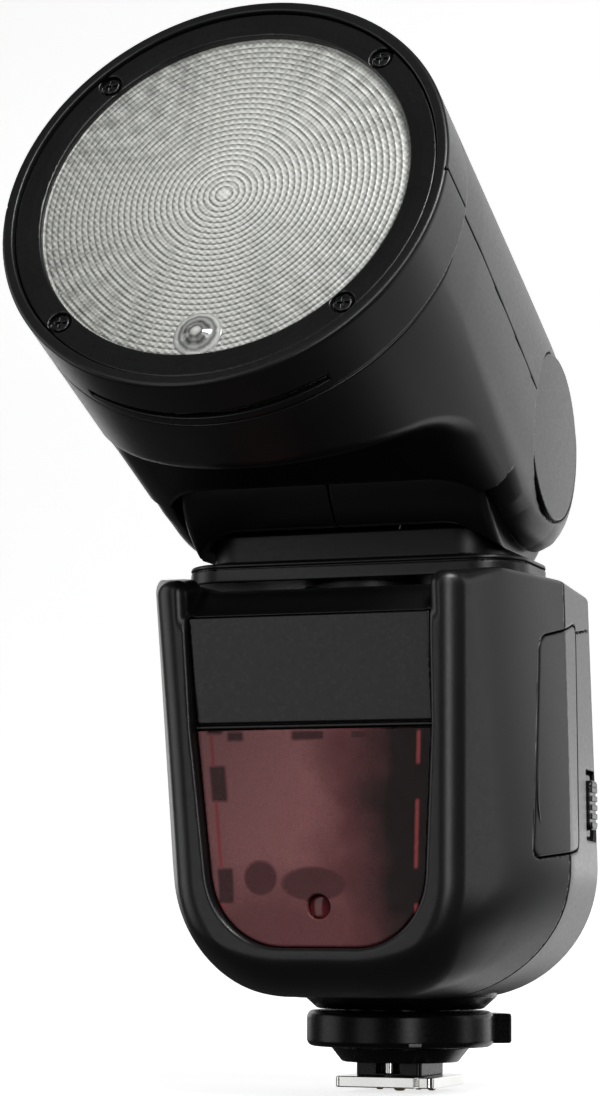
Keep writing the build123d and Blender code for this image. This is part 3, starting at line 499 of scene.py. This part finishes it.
def body_outer(x, y, z):
    """Cheeks angled back from a crest in front to a knee, then a crease, then a narrower rear."""
    ax, behind = abs(x), y - parting(z)
    front = -46.9 - 0.105 * (z - 37) - 0.00034 * (z - 37) ** 2
    side = ax - 36.8 + np.maximum(0.0895 * behind, -0.195 * behind)
    side = rmax(side, 16.5 - 0.7 * np.clip((y + 30) / 20, 0, 1) - z, 25)
    back = y - front
    crest = rmax(ax - 26.0 - 0.039 * (z - 67), 17.5 - z, 19)
    cheek = (crest - 0.479 * back - 0.0039 * back * (16.7 - back)) / 1.11
    d = rmax(-back, side, 3 + 8 * np.clip((30 - z) / 13, 0, 1))
    d = rmax(d, cheek, 2.6)
    d = rmax(d, y - (20 - 0.1363 * (z - 37)), 8)
    shoulder = np.clip((np.hypot(x, y - TILT_Y) - 32.9) / 1.5, 0, 1) * np.clip((y + 49) / 8, 0, 1)
    return rmax(d, z - 88.2 - 1.4 * shoulder, 1.2 + 1.6 * np.clip((-y - 40) / 10, 0, 1))


def panel_width(z):
    return np.interp(z, [25, 36, 62.3, 81.5], [19.3, 19.6, 21.6, 22.0])


def panel_front(z):
    return np.interp(z, [20, 36, 63, 81.5], [-43.8, -44.9, -47.6, -51.15])


def panel_u(x, z, inset):
    """Outline of the front panel: straight sides and a U-shaped foot."""
    return rmax(abs(x) - panel_width(z) + inset, 25 + inset - z, 12.5)


def body_form(x, y, z):
    """The housing with its sloped roof and the sunk front panel."""
    d = body_outer(x, y, z)
    drop = np.clip((-33.9 - y) / 16.7, 0, 1.25)
    roof = 88.3 - 6.8 * drop ** 2.2
    d = rmax(d, -rmax(abs(x) - 22, roof - z, 1.2), 2.2)
    pocket = np.maximum(panel_u(x, z, 0), np.maximum(y - panel_front(z) - 1.8, z - 81.55))
    d = rmax(d, -pocket, np.interp(z, [79.5, 81], [0.9, 0.3]))
    strip = np.maximum(abs(x) - panel_width(z) - 0.5, slab(z, 62.38, 63.0))
    strip = rmax(strip, panel_front(z) + 0.05 - y, 0.2)
    return np.minimum(d, np.maximum(strip, y + 44))


def cap_outline(y, z):
    """Battery cap seen from the side: a leaning rounded rectangle."""
    corners = [(-28.6, 78.6), (-8.4, 82.8), (-8.0, 42.6), (-27.9, 40.6)]
    sides = []
    for (y0, z0), (y1, z1) in zip(corners, corners[1:] + corners[:1]):
        ny, nz = z0 - z1, y1 - y0
        size = math.hypot(ny, nz)
        sides.append(((y - y0) * ny + (z - z0) * nz) / size)
    return rmax(rmax(sides[0], sides[2], 2), rmax(sides[1], sides[3], 2), 2.2)


def rear_axes(x, y, z):
    """Rear-panel coordinates: right seen from behind, up the slope, outward."""
    a, b = y - 16.5, z - 62.6
    return -x, -0.1355 * a + 0.9908 * b, 0.9908 * a + 0.1355 * b


def rear_cuts(x, y, z):
    h, v, out = rear_axes(x, y, z)
    cut = box2(h, v - 9, 24.15, 13.15, 1.2)
    for key in (-17.4, -5.8, 5.8, 17.4):
        cut = np.minimum(cut, box2(h - key, v + 8.4, 4.25, 2.35, 1.3))
    cut = np.minimum(cut, np.hypot(h, v + 21.5) - 10.65)
    for kh, kv in ((-19, -16), (19, -16), (-19, -25.4)):
        cut = np.minimum(cut, np.hypot(h - kh, v - kv) - 3.45)
    cut = np.minimum(cut, box2(h - 19, v + 25.4, 4.75, 1.95, 0.9))
    cut = np.maximum(cut, -2.6 - out)
    for sh, sv in ((-27.2, 23.6), (27.2, 23.6), (-25.6, -5.0), (25.6, -5.0)):
        cut = np.minimum(cut, np.maximum(np.hypot(h - sh, v - sv) - 2.2, -1.9 - out))
    return cut


def shell(x, y, z):
    """Both halves of the housing, hollow, with every opening."""
    form = body_form(x, y, z)
    d = np.maximum(form, -form - WALL)
    window = np.maximum(rmax(abs(x) - panel_width(z) + 2.2, 27.2 - z, 10), np.maximum(y + 38, z - 60.0))
    d = np.maximum(d, -window)
    d = rmax(d, -np.maximum(cap_outline(y, z) - 0.28, 20 - x), 0.3)
    port = np.maximum(box2(y - PORT_Y, z - PORT_Z, 4.8, 15.3, 1.0), x + 32.4)
    d = rmax(d, -port, 0.3)
    recess = np.maximum(box2(y - 5.6, z - LATCH_Z, 5.0, 6.4, 0.6), 32.9 - x)
    d = rmax(d, -recess, 0.3)
    track = np.maximum(abs(z - 81.4 - 0.13 * (y + 8)) - 0.16, slab(y, -8.3, 12.5))
    track = np.maximum(track, 34.2 - x)
    d = rmax(d, -track, 0.12)
    d = rmax(d, -rear_cuts(x, y, z), 0.3)
    d = rmax(d, -np.maximum(np.hypot(x, y - TILT_Y) - 13.1, 80 - z), 0.3)
    return np.maximum(d, -np.maximum(np.hypot(x, y) - 13.1, z - 26))


def port_floor(x, y, z):
    """Wall behind the port cover, round the two sockets."""
    across = y - PORT_Y
    d = np.maximum(box2(across, z - PORT_Z, 5.3, 15.9, 1.0), slab(x, -32.2, -30.9))
    d = np.maximum(d, 3.3 - np.hypot(across, z - 53.5))
    return np.maximum(d, -box2(across, z - 67, 2.0, 4.8, 1.4))


def front_shell(x, y, z):
    return rmax(shell(x, y, z), y - parting(z) + 0.11, 0.28)


def rear_shell(x, y, z):
    d = np.minimum(shell(x, y, z), port_floor(x, y, z))
    return rmax(d, parting(z) - y + 0.11, 0.28)


def badge_panel(x, y, z):
    d = rmax(abs(x) - panel_width(z) + 0.15, slab(z, 63.25, 81.38), 0.3)
    return rmax(d, slab(y, panel_front(z), panel_front(z) + 1.6), 0.3)


def red_window(x, y, z):
    d = rmax(panel_u(x, z, 0.15), z - 62.12, 0.3)
    d = rmax(d, slab(y, panel_front(z), panel_front(z) + 1.6), 0.35)
    return rmax(d, 2.1 - np.hypot(x, z - SENSOR_Z), 0.2)


def battery_cap(x, y, z):
    d = rmax(body_outer(x, y, z), cap_outline(y, z), 0.5)
    d = rmax(d, 32.5 - x, 0.2)
    cells = np.minimum(*(np.hypot(y - CELL_Y, z - cell_z) for cell_z in CELL_ZS)) - 9.6
    return rmax(d, -np.maximum(cells, x - 33.2), 0.2)


def port_cover(x, y, z):
    d = rmax(body_outer(x, y, z), box2(y - PORT_Y, z - PORT_Z, 4.5, 15.0, 0.9), 0.6)
    d = rmax(d, x + 32.5, 0.3)
    pull = np.maximum(box2(y + 4.6, z - PORT_Z, 0.45, 4.0, 0.4), x + 34.9)
    return np.maximum(rmax(d, -pull, 0.2), np.hypot(x + 35.7, y - 3.1) - 9.15)


def latch(x, y, z):
    """Sliding catch: a foot in the recess and a low ribbed pad."""
    up, rib_pitch = z - LATCH_Z, 1.6
    foot = rmax(box2(y - 4.7, up, 3.4, 5.7, 0.5), slab(x, 33.15, 34.0), 0.15)
    pad = rmax(box2(y - 5.0, up, 2.3, 4.5, 1.1), slab(x, 33.5, 35.75), 0.5)
    groove = np.maximum(abs((up + 10) % rib_pitch - rib_pitch / 2) - 0.28, 35.35 - x)
    return np.minimum(foot, rmax(pad, -np.maximum(groove, abs(up) - 3.4), 0.12))


def build_body():
    plastic, smooth = MATERIALS["shell_plastic"], MATERIALS["smooth_plastic"]
    low, high = (-38.2, -54.6, 15.6), (38.2, 25.2, 90.6)
    front_end, rear_start = -12.5, -26.0
    solid("front_housing", front_shell, low, (high[0], front_end, high[2]), HOUSING_STEP, plastic, "housing",
          ["front_shell"])
    solid("rear_housing", rear_shell, (low[0], rear_start, low[2]), high, HOUSING_STEP, plastic, "housing",
          ["rear_shell"])
    solid("badge_plate", badge_panel, (-22.5, -52, 62), (22.5, -45, 82.2), 0.35, smooth, "housing",
          ["badge_panel"])
    solid("red_front_window", red_window, (-22.5, -48.5, 24.3), (22.5, -42, 63), 0.32,
          MATERIALS["red_acrylic"], "housing", ["red_window"])
    solid("battery_cover", battery_cap, (32.0, -31, 38.5), (38.2, -6, 84.5), 0.3, plastic, "battery",
          ["battery_cap"])
    solid("battery_catch", latch, (32.8, 0.4, 44.4), (36.2, 9.2, 57.6), 0.2, smooth, "battery_latch",
          ["battery_latch"])
    solid("port_flap", port_cover, (-39, -7, 45), (-32, 4, 77), 0.25, MATERIALS["rubber"], "port_cover",
          ["port_cover"])


# ---------------------------------------------------------------- head
def head_outer(x, s, v):
    """The head's form behind the round rim, in the head's own frame."""
    taper_s, relief_s = 53, 17.6
    drum = np.hypot(x, v) - HEAD_R
    side = abs(x) - (35.3 + 2.7 * np.clip(s / 57, 0, 1))
    angle = math.atan2(HEAD_R, taper_s) + math.acos(EAR_R / math.hypot(taper_s, HEAD_R))
    top = math.cos(angle) * s + math.sin(angle) * v - EAR_R
    ramp = -0.797 * (s - taper_s) - 0.604 * (v + HEAD_R)
    floor = np.where(s < relief_s, 0.1193 * np.maximum(s, 0) - 21.55, -22) - v
    under = rmin(floor, ramp, 5)
    back = -0.9896 * s - 0.1409 * (v + EAR_R)
    round_end = np.hypot(s, v) - EAR_R
    profile = np.minimum(np.maximum(np.maximum(top, under), back), round_end)
    d = rmax(drum, side, 2.5)
    return rmax(d, profile, 3.2 + 5.0 * np.clip((10 - s) / 18, 0, 1))


def mouth(s, v):
    """Positive outside the wedge of the head that the barrel leaves solid."""
    upper = -0.9659 * s - 0.2588 * v
    lower = -0.6947 * s - 0.7193 * v
    return upper, lower


def head_shell(x, s, v):
    """The head behind its rim: hollow, with the barrel's mouth and the hub cap seats."""
    ax, rho = abs(x), np.hypot(s, v)
    upper, lower = mouth(s, v)
    wedge = np.maximum(upper, lower)
    outer = head_outer(x, s, v)
    hollow = np.maximum(np.maximum(outer + WALL, 27 - rho), wedge + 1.8)
    d = np.maximum(outer, -hollow)
    mouth_cut = rmax((ax - 29.2) * 0.62, -wedge, 5.6)
    tunnel = np.maximum(ax - 29.2, rho - 25.2)
    d = rmax(d, -np.minimum(mouth_cut, tunnel), 0.8)
    return rmax(d, -np.maximum(rho - 15.15, 34.3 - ax), 0.3)


def head_half(sign):
    """Upper or lower half of the head, parted at its middle plane."""
    def field(x, y, v):
        d = head_shell(x, -y, v)
        d = rmax(d, 0.1 - sign * v, 0.25)
        return rmax(d, -y - 67.95, 0.3)
    return field


def rim(x, y, v):
    """Straight front band with its lip, seam notches and the slot under it."""
    s, rho = -y, np.hypot(x, v)
    d = rmax(rmax(rho - HEAD_R, s - 79.4, 0.7), 68.15 - s, 0.3)
    d = rmax(d, 36.0 - rho, 0.35)
    angle = math.radians(32)
    sector = abs(x) * math.cos(angle) + v * math.sin(angle)
    slot = np.maximum(np.maximum(abs(s - 70.7) - 0.75, 36.8 - rho), sector)
    d = rmax(d, -slot, 0.3)
    return rmax(d, -np.maximum(np.maximum(abs(v) - 0.13, 37.3 - rho), s - 79), 0.15)


AXIS_HOLE = 0.02
EDGE_RING = [(31.42, 77.0), (31.9, 77.0), (31.9, 77.6), (31.75, 77.85), (31.55, 77.75), (31.42, 77.5)]
DOME = [(AXIS_HOLE, 78.75), (0.7, 78.7), (1.3, 78.5), (1.45, 78.38), (2.1, 78.25), (2.25, 78.1), (2.9, 77.95),
        (3.3, 77.8), (3.6, 77.68), (3.8, 77.6), (4.05, 77.56), (4.05, 76.4), (AXIS_HOLE, 76.4)]
SCREW_CIRCLE = 33.7
SCREWS = [(SCREW_CIRCLE * math.cos(math.radians(a)), SCREW_CIRCLE * math.sin(math.radians(a)))
          for a in (45, 135, 225, 315)]


def bezel(x, y, v):
    s, rho = -y, np.hypot(x, v)
    front = 78.75 - np.clip((33.4 - rho) * 0.10, 0, 0.2)
    d = rmax(rmax(rho - 35.8, 31.45 - rho, 0.3), slab(s, 76.6, front), 0.28)
    for sx, sv in SCREWS:
        d = rmax(d, -np.maximum(np.hypot(x - sx, v - sv) - 1.95, 77.75 - s), 0.25)
    return d


def lens_seat(x, y, v):
    s, rho = -y, np.hypot(x, v)
    return rmax(rmax(rho - 35.9, 32.8 - rho, 0.3), slab(s, 70.0, 76.5), 0.3)


def screw_head(x, y, v):
    s, rho = -y, np.hypot(x, v)
    d = rmax(rho - 1.5, slab(s, 76.6, 78.62 - 0.05 * rho * rho), 0.25)
    cross = np.minimum(box2(x, v, 1.05, 0.2, 0.05), box2(x, v, 0.2, 1.05, 0.05))
    return rmax(d, -np.maximum(cross, 77.9 - s + 0.25 * rho), 0.08)


def hub_cap(side):
    def field(x, y, v):
        rho = np.hypot(y, v)
        crown = 35.45 - 0.25 * (rho / HUB_R) ** 2
        return rmax(rho - HUB_R, slab(x * side, 34.35, crown), 0.3)
    return field


def turned_piece(name, outline, turns, slot, centre_v=0.0, replaces=()):
    """A turned piece of the head, from its outline of radius and s, closed behind."""
    a = np.linspace(0, 2 * math.pi, turns, endpoint=False)
    points = [np.stack([r * np.cos(a), np.full(turns, -s), centre_v + r * np.sin(a)], 1) for r, s in outline]
    ring = np.arange(turns)
    following = (ring + 1) % turns
    strip = np.stack([ring, following, following + turns, ring + turns], 1)
    faces = np.concatenate([strip + k * turns for k in range(len(outline) - 1)])
    points = head_to_world(np.concatenate(points))
    return add_mesh(name, points, faces, MATERIALS[slot], "head", replaces)


def lens_outline():
    """Pressed rings: a shallow saw-tooth that gets steeper outwards."""
    front, back, pitch, last, edge = 77.5, 76.0, 1.05, 31.0, 31.4
    outline, r = [(AXIS_HOLE, front + 0.05)], 0.5
    while r < last:
        depth = 0.02 + 0.10 * r / last
        outline += [(r, front), (r + 0.12, front - depth), (r + pitch, front)]
        r += pitch
    return outline + [(edge, front), (edge, front - 0.15), (edge, back), (AXIS_HOLE, back)]


def build_head():
    plastic, smooth, core = (MATERIALS[k] for k in ("shell_plastic", "smooth_plastic", "core_plastic"))
    solid("head_upper_housing", head_half(1), (-39, -68.6, -1), (39, 23, 39), HOUSING_STEP, plastic, "head",
          ["head_top_shell"], in_head=True)
    solid("head_lower_housing", head_half(-1), (-39, -68.6, -39), (39, 23, 1), HOUSING_STEP, plastic, "head",
          ["head_bottom_shell"], in_head=True)
    solid("head_rim_band", rim, (-38.6, -80, -38.6), (38.6, -67.6, 38.6), 0.36, plastic, "head",
          in_head=True)
    solid("front_bezel", bezel, (-36.4, -79.3, -36.4), (36.4, -76.1, 36.4), 0.33, smooth, "head",
          ["bezel_ring"], in_head=True)
    solid("lens_carrier", lens_seat, (-36.4, -77, -36.4), (36.4, -69.5, 36.4), 0.5, core, "head",
          ["lens_seat"], in_head=True)
    for number, (sx, sv) in enumerate(SCREWS, 1):
        solid(f"bezel_screw_{number}", screw_head, (-1.8, -79.0, -1.8), (1.8, -76.2, 1.8), 0.09,
              MATERIALS["screw_steel"], "head", ["bezel_screws"], in_head=True,
              shift=(sx, 0, sv))
    for side, name in ((1, "right"), (-1, "left")):
        x0, x1 = sorted((side * 34.0, side * 35.9))
        solid(f"hub_cap_{name}", hub_cap(side), (x0, -15.4, -15.4), (x1, 15.4, 15.4), 0.25, smooth, "head",
              ["hub_caps"], in_head=True)
    turned_piece("pressed_lens", lens_outline(), 192, "clear_lens", replaces=["fresnel_lens"])
    turned_piece("lens_edge_ring", EDGE_RING, 192, "reflector_metal")
    turned_piece("lamp_dome", DOME, 64, "lamp_optic", centre_v=LAMP_V, replaces=["led_lamp"])


# ---------------------------------------------------------------- neck
def plinth(x, y, z):
    outline = box2(x, y - TILT_Y, 31.8, 13.6, 9)
    d = rmax(rmax(outline, z - 93.2, 0.5), 89.7 - z, 0.3)
    groove = np.maximum(abs(z - 92.25) - 0.16, -0.42 - outline)
    return rmax(d, -groove, 0.12)


def neck_column(x, y, z):
    return rmax(box2(x, y - TILT_Y, 26.9, 12.4, 7), slab(z, 93.2, 98.2), 0.3)


def barrel_half(side):
    def field(x, y, z):
        ax, rho = abs(x), np.hypot(y - TILT_Y, z - TILT_Z)
        d = rmax(rho - 24, ax - 28.5, 1.6)
        arch = 98.6 - 4.4 * np.clip((ax - 18.5) / 10, 0, 1) ** 2.2
        d = rmax(d, arch - z, 0.3)
        d = np.maximum(d, -np.maximum(rho - 22, ax - 26.5))
        return rmax(d, 0.14 - side * x, 0.3)
    return field


def build_neck():
    plastic, core = MATERIALS["shell_plastic"], MATERIALS["core_plastic"]
    solid("neck_plinth", plinth, (-32.6, -33.8, 89.2), (32.6, -5.0, 93.8), 0.3, plastic, "neck",
          ["neck_base"])
    solid("neck_column", neck_column, (-27.6, -32.6, 92.6), (27.6, -6.2, 98.8), 0.45, core, "neck",
          ["neck_core"])
    for side, name in ((1, "right"), (-1, "left")):
        x0, x1 = sorted((0.0, side * 29.1))
        solid(f"neck_barrel_{name}", barrel_half(side), (x0 - 0.6, -44, 93.6), (x1 + 0.6, 5.2, 140), 0.42,
              plastic, "neck", [f"neck_half_{name}"])


# ---------------------------------------------------------------- hot-shoe foot
def ring_band(x, y, z):
    return rmax(np.hypot(x, y) - RING_R, slab(z, RING_LOW, RING_TOP), 1.25)


def turned(x, y, degrees):
    """Coordinates out along a direction from the foot's axis, and across it."""
    a = math.radians(degrees)
    return x * math.cos(a) + y * math.sin(a), -x * math.sin(a) + y * math.cos(a)


def lock_ring(x, y, z):
    d = np.maximum(ring_band(x, y, z), 11.1 - np.hypot(x, y))
    u, t = turned(x, y, 35)
    lever = rmax(rmax(abs(t) - 4.4, u - 20.3, 0.9), np.maximum(slab(z, 7.75, 13.15), 14 - u), 0.45)
    return rmin(d, lever, 0.25)


def collar(x, y, z):
    rho = np.hypot(x, y)
    cone = (rho - 15.2 - (z - 14.0) * 1.1) * 0.673
    d = rmax(np.maximum(cone, rho - 17.7), slab(z, 14.0, 17.2), 0.25)
    return np.maximum(d, 11.2 - rho)


def hub(x, y, z):
    rho = np.hypot(x, y)
    block = rmax(box2(x, y, 6.2, 7.0, 0.8), slab(z, 2.0, 5.4), 0.15)
    notch = np.maximum(np.maximum(abs(x) - 2.3, y + 4.4), slab(z, 2.55, 4.4))
    block = rmax(block, -notch, 0.15)
    cone = (rho - 10.6 - (z - 4.4) * 0.8) * 0.78
    cone = rmax(np.maximum(cone, rho - 12.7), slab(z, 4.4, 7.1), 0.25)
    core = np.maximum(rho - 10.95, slab(z, 6.5, 18.0))
    return np.minimum(np.minimum(block, cone), core)


def foot_plate(x, y, z):
    d = box2(x, y, 9.3, 9.75, 1.1)
    d = rmax(d, slab(z, 0, 2.0), 0.22)
    slit = np.maximum(abs(x - 6.3) - 0.42, y + 6.8)
    d = rmax(d, -slit, 0.15)
    holes = np.minimum(np.hypot(x, y) - 1.45, np.hypot(x, y + 5.9) - 1.0)
    for hole_x, hole_y in ((-5.0, 3.4), (-1.9, 5.2), (1.9, 5.2), (5.0, 3.4)):
        holes = np.minimum(holes, np.hypot(x - hole_x, y - hole_y) - 0.95)
    return rmax(d, -holes, 0.12)


def index_mark(x, y, z):
    """Small painted mark low on the lock ring, a few hundredths proud of it."""
    u, t = turned(x, y, -62.7)
    d = np.maximum(abs(ring_band(x, y, z) - 0.03) - 0.05, 14 - u)
    return rmax(d, box2(t, z - 7.85, 1.15, 0.30, 0.1), 0.02)


def build_foot():
    smooth, steel = FOOT_BLACK.material, MATERIALS["foot_steel"]
    solid("foot_lock_ring", lock_ring, (-17.8, -17.8, 6.8), (23.2, 18.6, 14.2), 0.3, smooth, "lock_ring",
          ["lock_ring"])
    solid("chin_collar", collar, (-18.4, -18.4, 13.5), (18.4, 18.4, 17.8), 0.35, smooth, "housing",
          ["foot_collar"])
    solid("foot_stem", hub, (-13.3, -13.3, 1.6), (13.3, 13.3, 18.5), 0.28, smooth, "housing",
          ["foot_hub"])
    solid("shoe_plate", foot_plate, (-9.9, -10.3, -0.4), (9.9, 10.3, 2.4), 0.2, steel, "housing",
          ["foot_plate"])
    solid("ring_index_mark", index_mark, (3.5, -18, 7.0), (11, -12.5, 8.9), 0.1, INDEX_GREY, "lock_ring")


def build_window_parts():
    """Frosted plate and sensor glass seen through the red window."""
    def frost(x, y, z):
        d = box2(x + 6, z - 50, 11.0, 9.6, 1.2)
        return rmax(d, slab(y, panel_front(z) + 3.2, panel_front(z) + 4.0), 0.2)

    def sensor(x, y, z):
        rho = np.hypot(x, z - SENSOR_Z)
        return rmax(rho - 2.0, slab(y, -43.9 + 0.08 * rho * rho, -41.0), 0.2)

    solid("window_diffuser", frost, (-18, -47, 39), (6, -40, 61), 0.35, FROST, "housing")
    solid("sensor_window", sensor, (-2.5, -44.6, 29.5), (2.5, -40.5, 34.5), 0.15, DARK_GLASS, "housing",
          ["photo_sensor"])


def dress_cad_nodes():
    """Give every CAD node that stays in view the material of its slot."""
    slots = {row["node"]: row["material_slot"] for row in frame["record"]["subparts"]}
    for name, node in frame["nodes"].items():
        material = MATERIALS[slots[name]]
        if not node.data.materials:
            node.data.materials.append(material)
        for slot in node.material_slots:
            slot.material = material


# ---------------------------------------------------------------- stage
def softbox(name, azimuth, height, distance, wide, tall, radiance, aim=(0, -0.02, 0.09)):
    """An area light seen only in reflections; azimuth 0 is in front, 90 towards +X."""
    a = math.radians(azimuth)
    data = bpy.data.lights.new(name, "AREA")
    data.shape, data.size, data.size_y = "RECTANGLE", wide, tall
    data.energy = radiance * math.pi * wide * tall
    lamp = bpy.data.objects.new(name, data)
    bpy.context.scene.collection.objects.link(lamp)
    lamp.location = (distance * math.sin(a), -distance * math.cos(a), height)
    lamp.rotation_euler = (Vector(aim) - lamp.location).to_track_quat("-Z", "Y").to_euler()
    lamp.visible_camera = False
    return lamp


def cyclorama():
    """Pale floor that sweeps up into a pale wall; the floor keeps out of the glossy reflections."""
    floor_end, bend, wall_top = 1.6, 0.9, 2.6
    floor_profile = [(-2.6, 0.0), (0.2, 0.0), (floor_end, 0.0)]
    wall_profile = [(floor_end + bend * math.sin(math.radians(a)), bend - bend * math.cos(math.radians(a)))
                    for a in range(0, 91, 6)] + [(floor_end + bend, wall_top)]
    floor = sweep_part("studio_floor", floor_profile)
    floor.visible_glossy = False
    floor.visible_diffuse = False
    sweep_part("studio_wall", wall_profile)


def sweep_part(name, profile):
    """One sheet of the backdrop, from its profile of y and height."""
    xs = (-3.2, -1.0, 1.0, 3.2)
    wide = len(xs)
    points = [(x, y, FLOOR_Z + height) for y, height in profile for x in xs]
    faces = [(r * wide + c, r * wide + c + 1, (r + 1) * wide + c + 1, (r + 1) * wide + c)
             for r in range(len(profile) - 1) for c in range(wide - 1)]
    mesh = bpy.data.meshes.new(name)
    mesh.from_pydata(points, [], faces)
    mesh.polygons.foreach_set("use_smooth", [True] * len(faces))
    r = Recipe(name)
    r.link(r.ramp(r.noise(3, 2.0), (0.3, (0.90, 0.90, 0.90)), (0.7, (0.93, 0.93, 0.93))),
           r.shader.inputs["Base Color"])
    r.set(Roughness=0.9, Emission_Color=(1, 1, 1, 1), Emission_Strength=0.72)
    mesh.materials.append(r.material)
    part = bpy.data.objects.new(name, mesh)
    bpy.context.scene.collection.objects.link(part)
    return part


def build_stage():
    """Backdrop, faint room light and soft panels."""
    cyclorama()
    world = bpy.data.worlds.new("studio_air")
    world.use_nodes = True
    background = world.node_tree.nodes["Background"]
    background.inputs["Color"].default_value = (1, 1, 1, 1)
    background.inputs["Strength"].default_value = 0.05
    bpy.context.scene.world = world
    bpy.context.scene.view_settings.view_transform = "Standard"
    softbox("panel_front_left", -24, 0.20, 1.5, 0.62, 1.7, 1.0)
    softbox("panel_left", -78, 0.25, 1.5, 0.80, 1.5, 1.3)
    softbox("strip_front_right", 30, 0.30, 1.5, 0.34, 1.6, 5.0)
    softbox("panel_right", 108, 0.30, 1.5, 0.42, 1.5, 1.5)
    softbox("panel_behind_right", 163, -0.42, 1.6, 1.3, 1.15, 1.1)
    softbox("key_top", 42, 1.25, 1.0, 0.50, 0.50, 20.0, aim=(0, -0.09, 0.15))
    softbox("softbox_rear_left", -135, 0.5, 1.6, 0.5, 1.5, 0.35)


def build_camera():
    """Camera at the photograph's viewing angle."""
    data = bpy.data.cameras.new("camera")
    data.sensor_fit, data.sensor_width, data.lens = "AUTO", 36, 96.22
    data.clip_start, data.clip_end = 0.02, 20
    camera = bpy.data.objects.new("camera", data)
    bpy.context.scene.collection.objects.link(camera)
    right, up, back = (0.9386, 0.3449, 0.0059), (0.0399, -0.1255, 0.9913), (0.3426, -0.9302, -0.1316)
    turn = Matrix((right, up, back)).transposed()
    camera.matrix_world = Matrix.Translation((0.1704, -0.5173, 0.0269)) @ turn.to_4x4()
    bpy.context.scene.camera = camera


dress_cad_nodes()
build_body()
build_window_parts()
build_head()
build_neck()
build_foot()
build_stage()
build_camera()
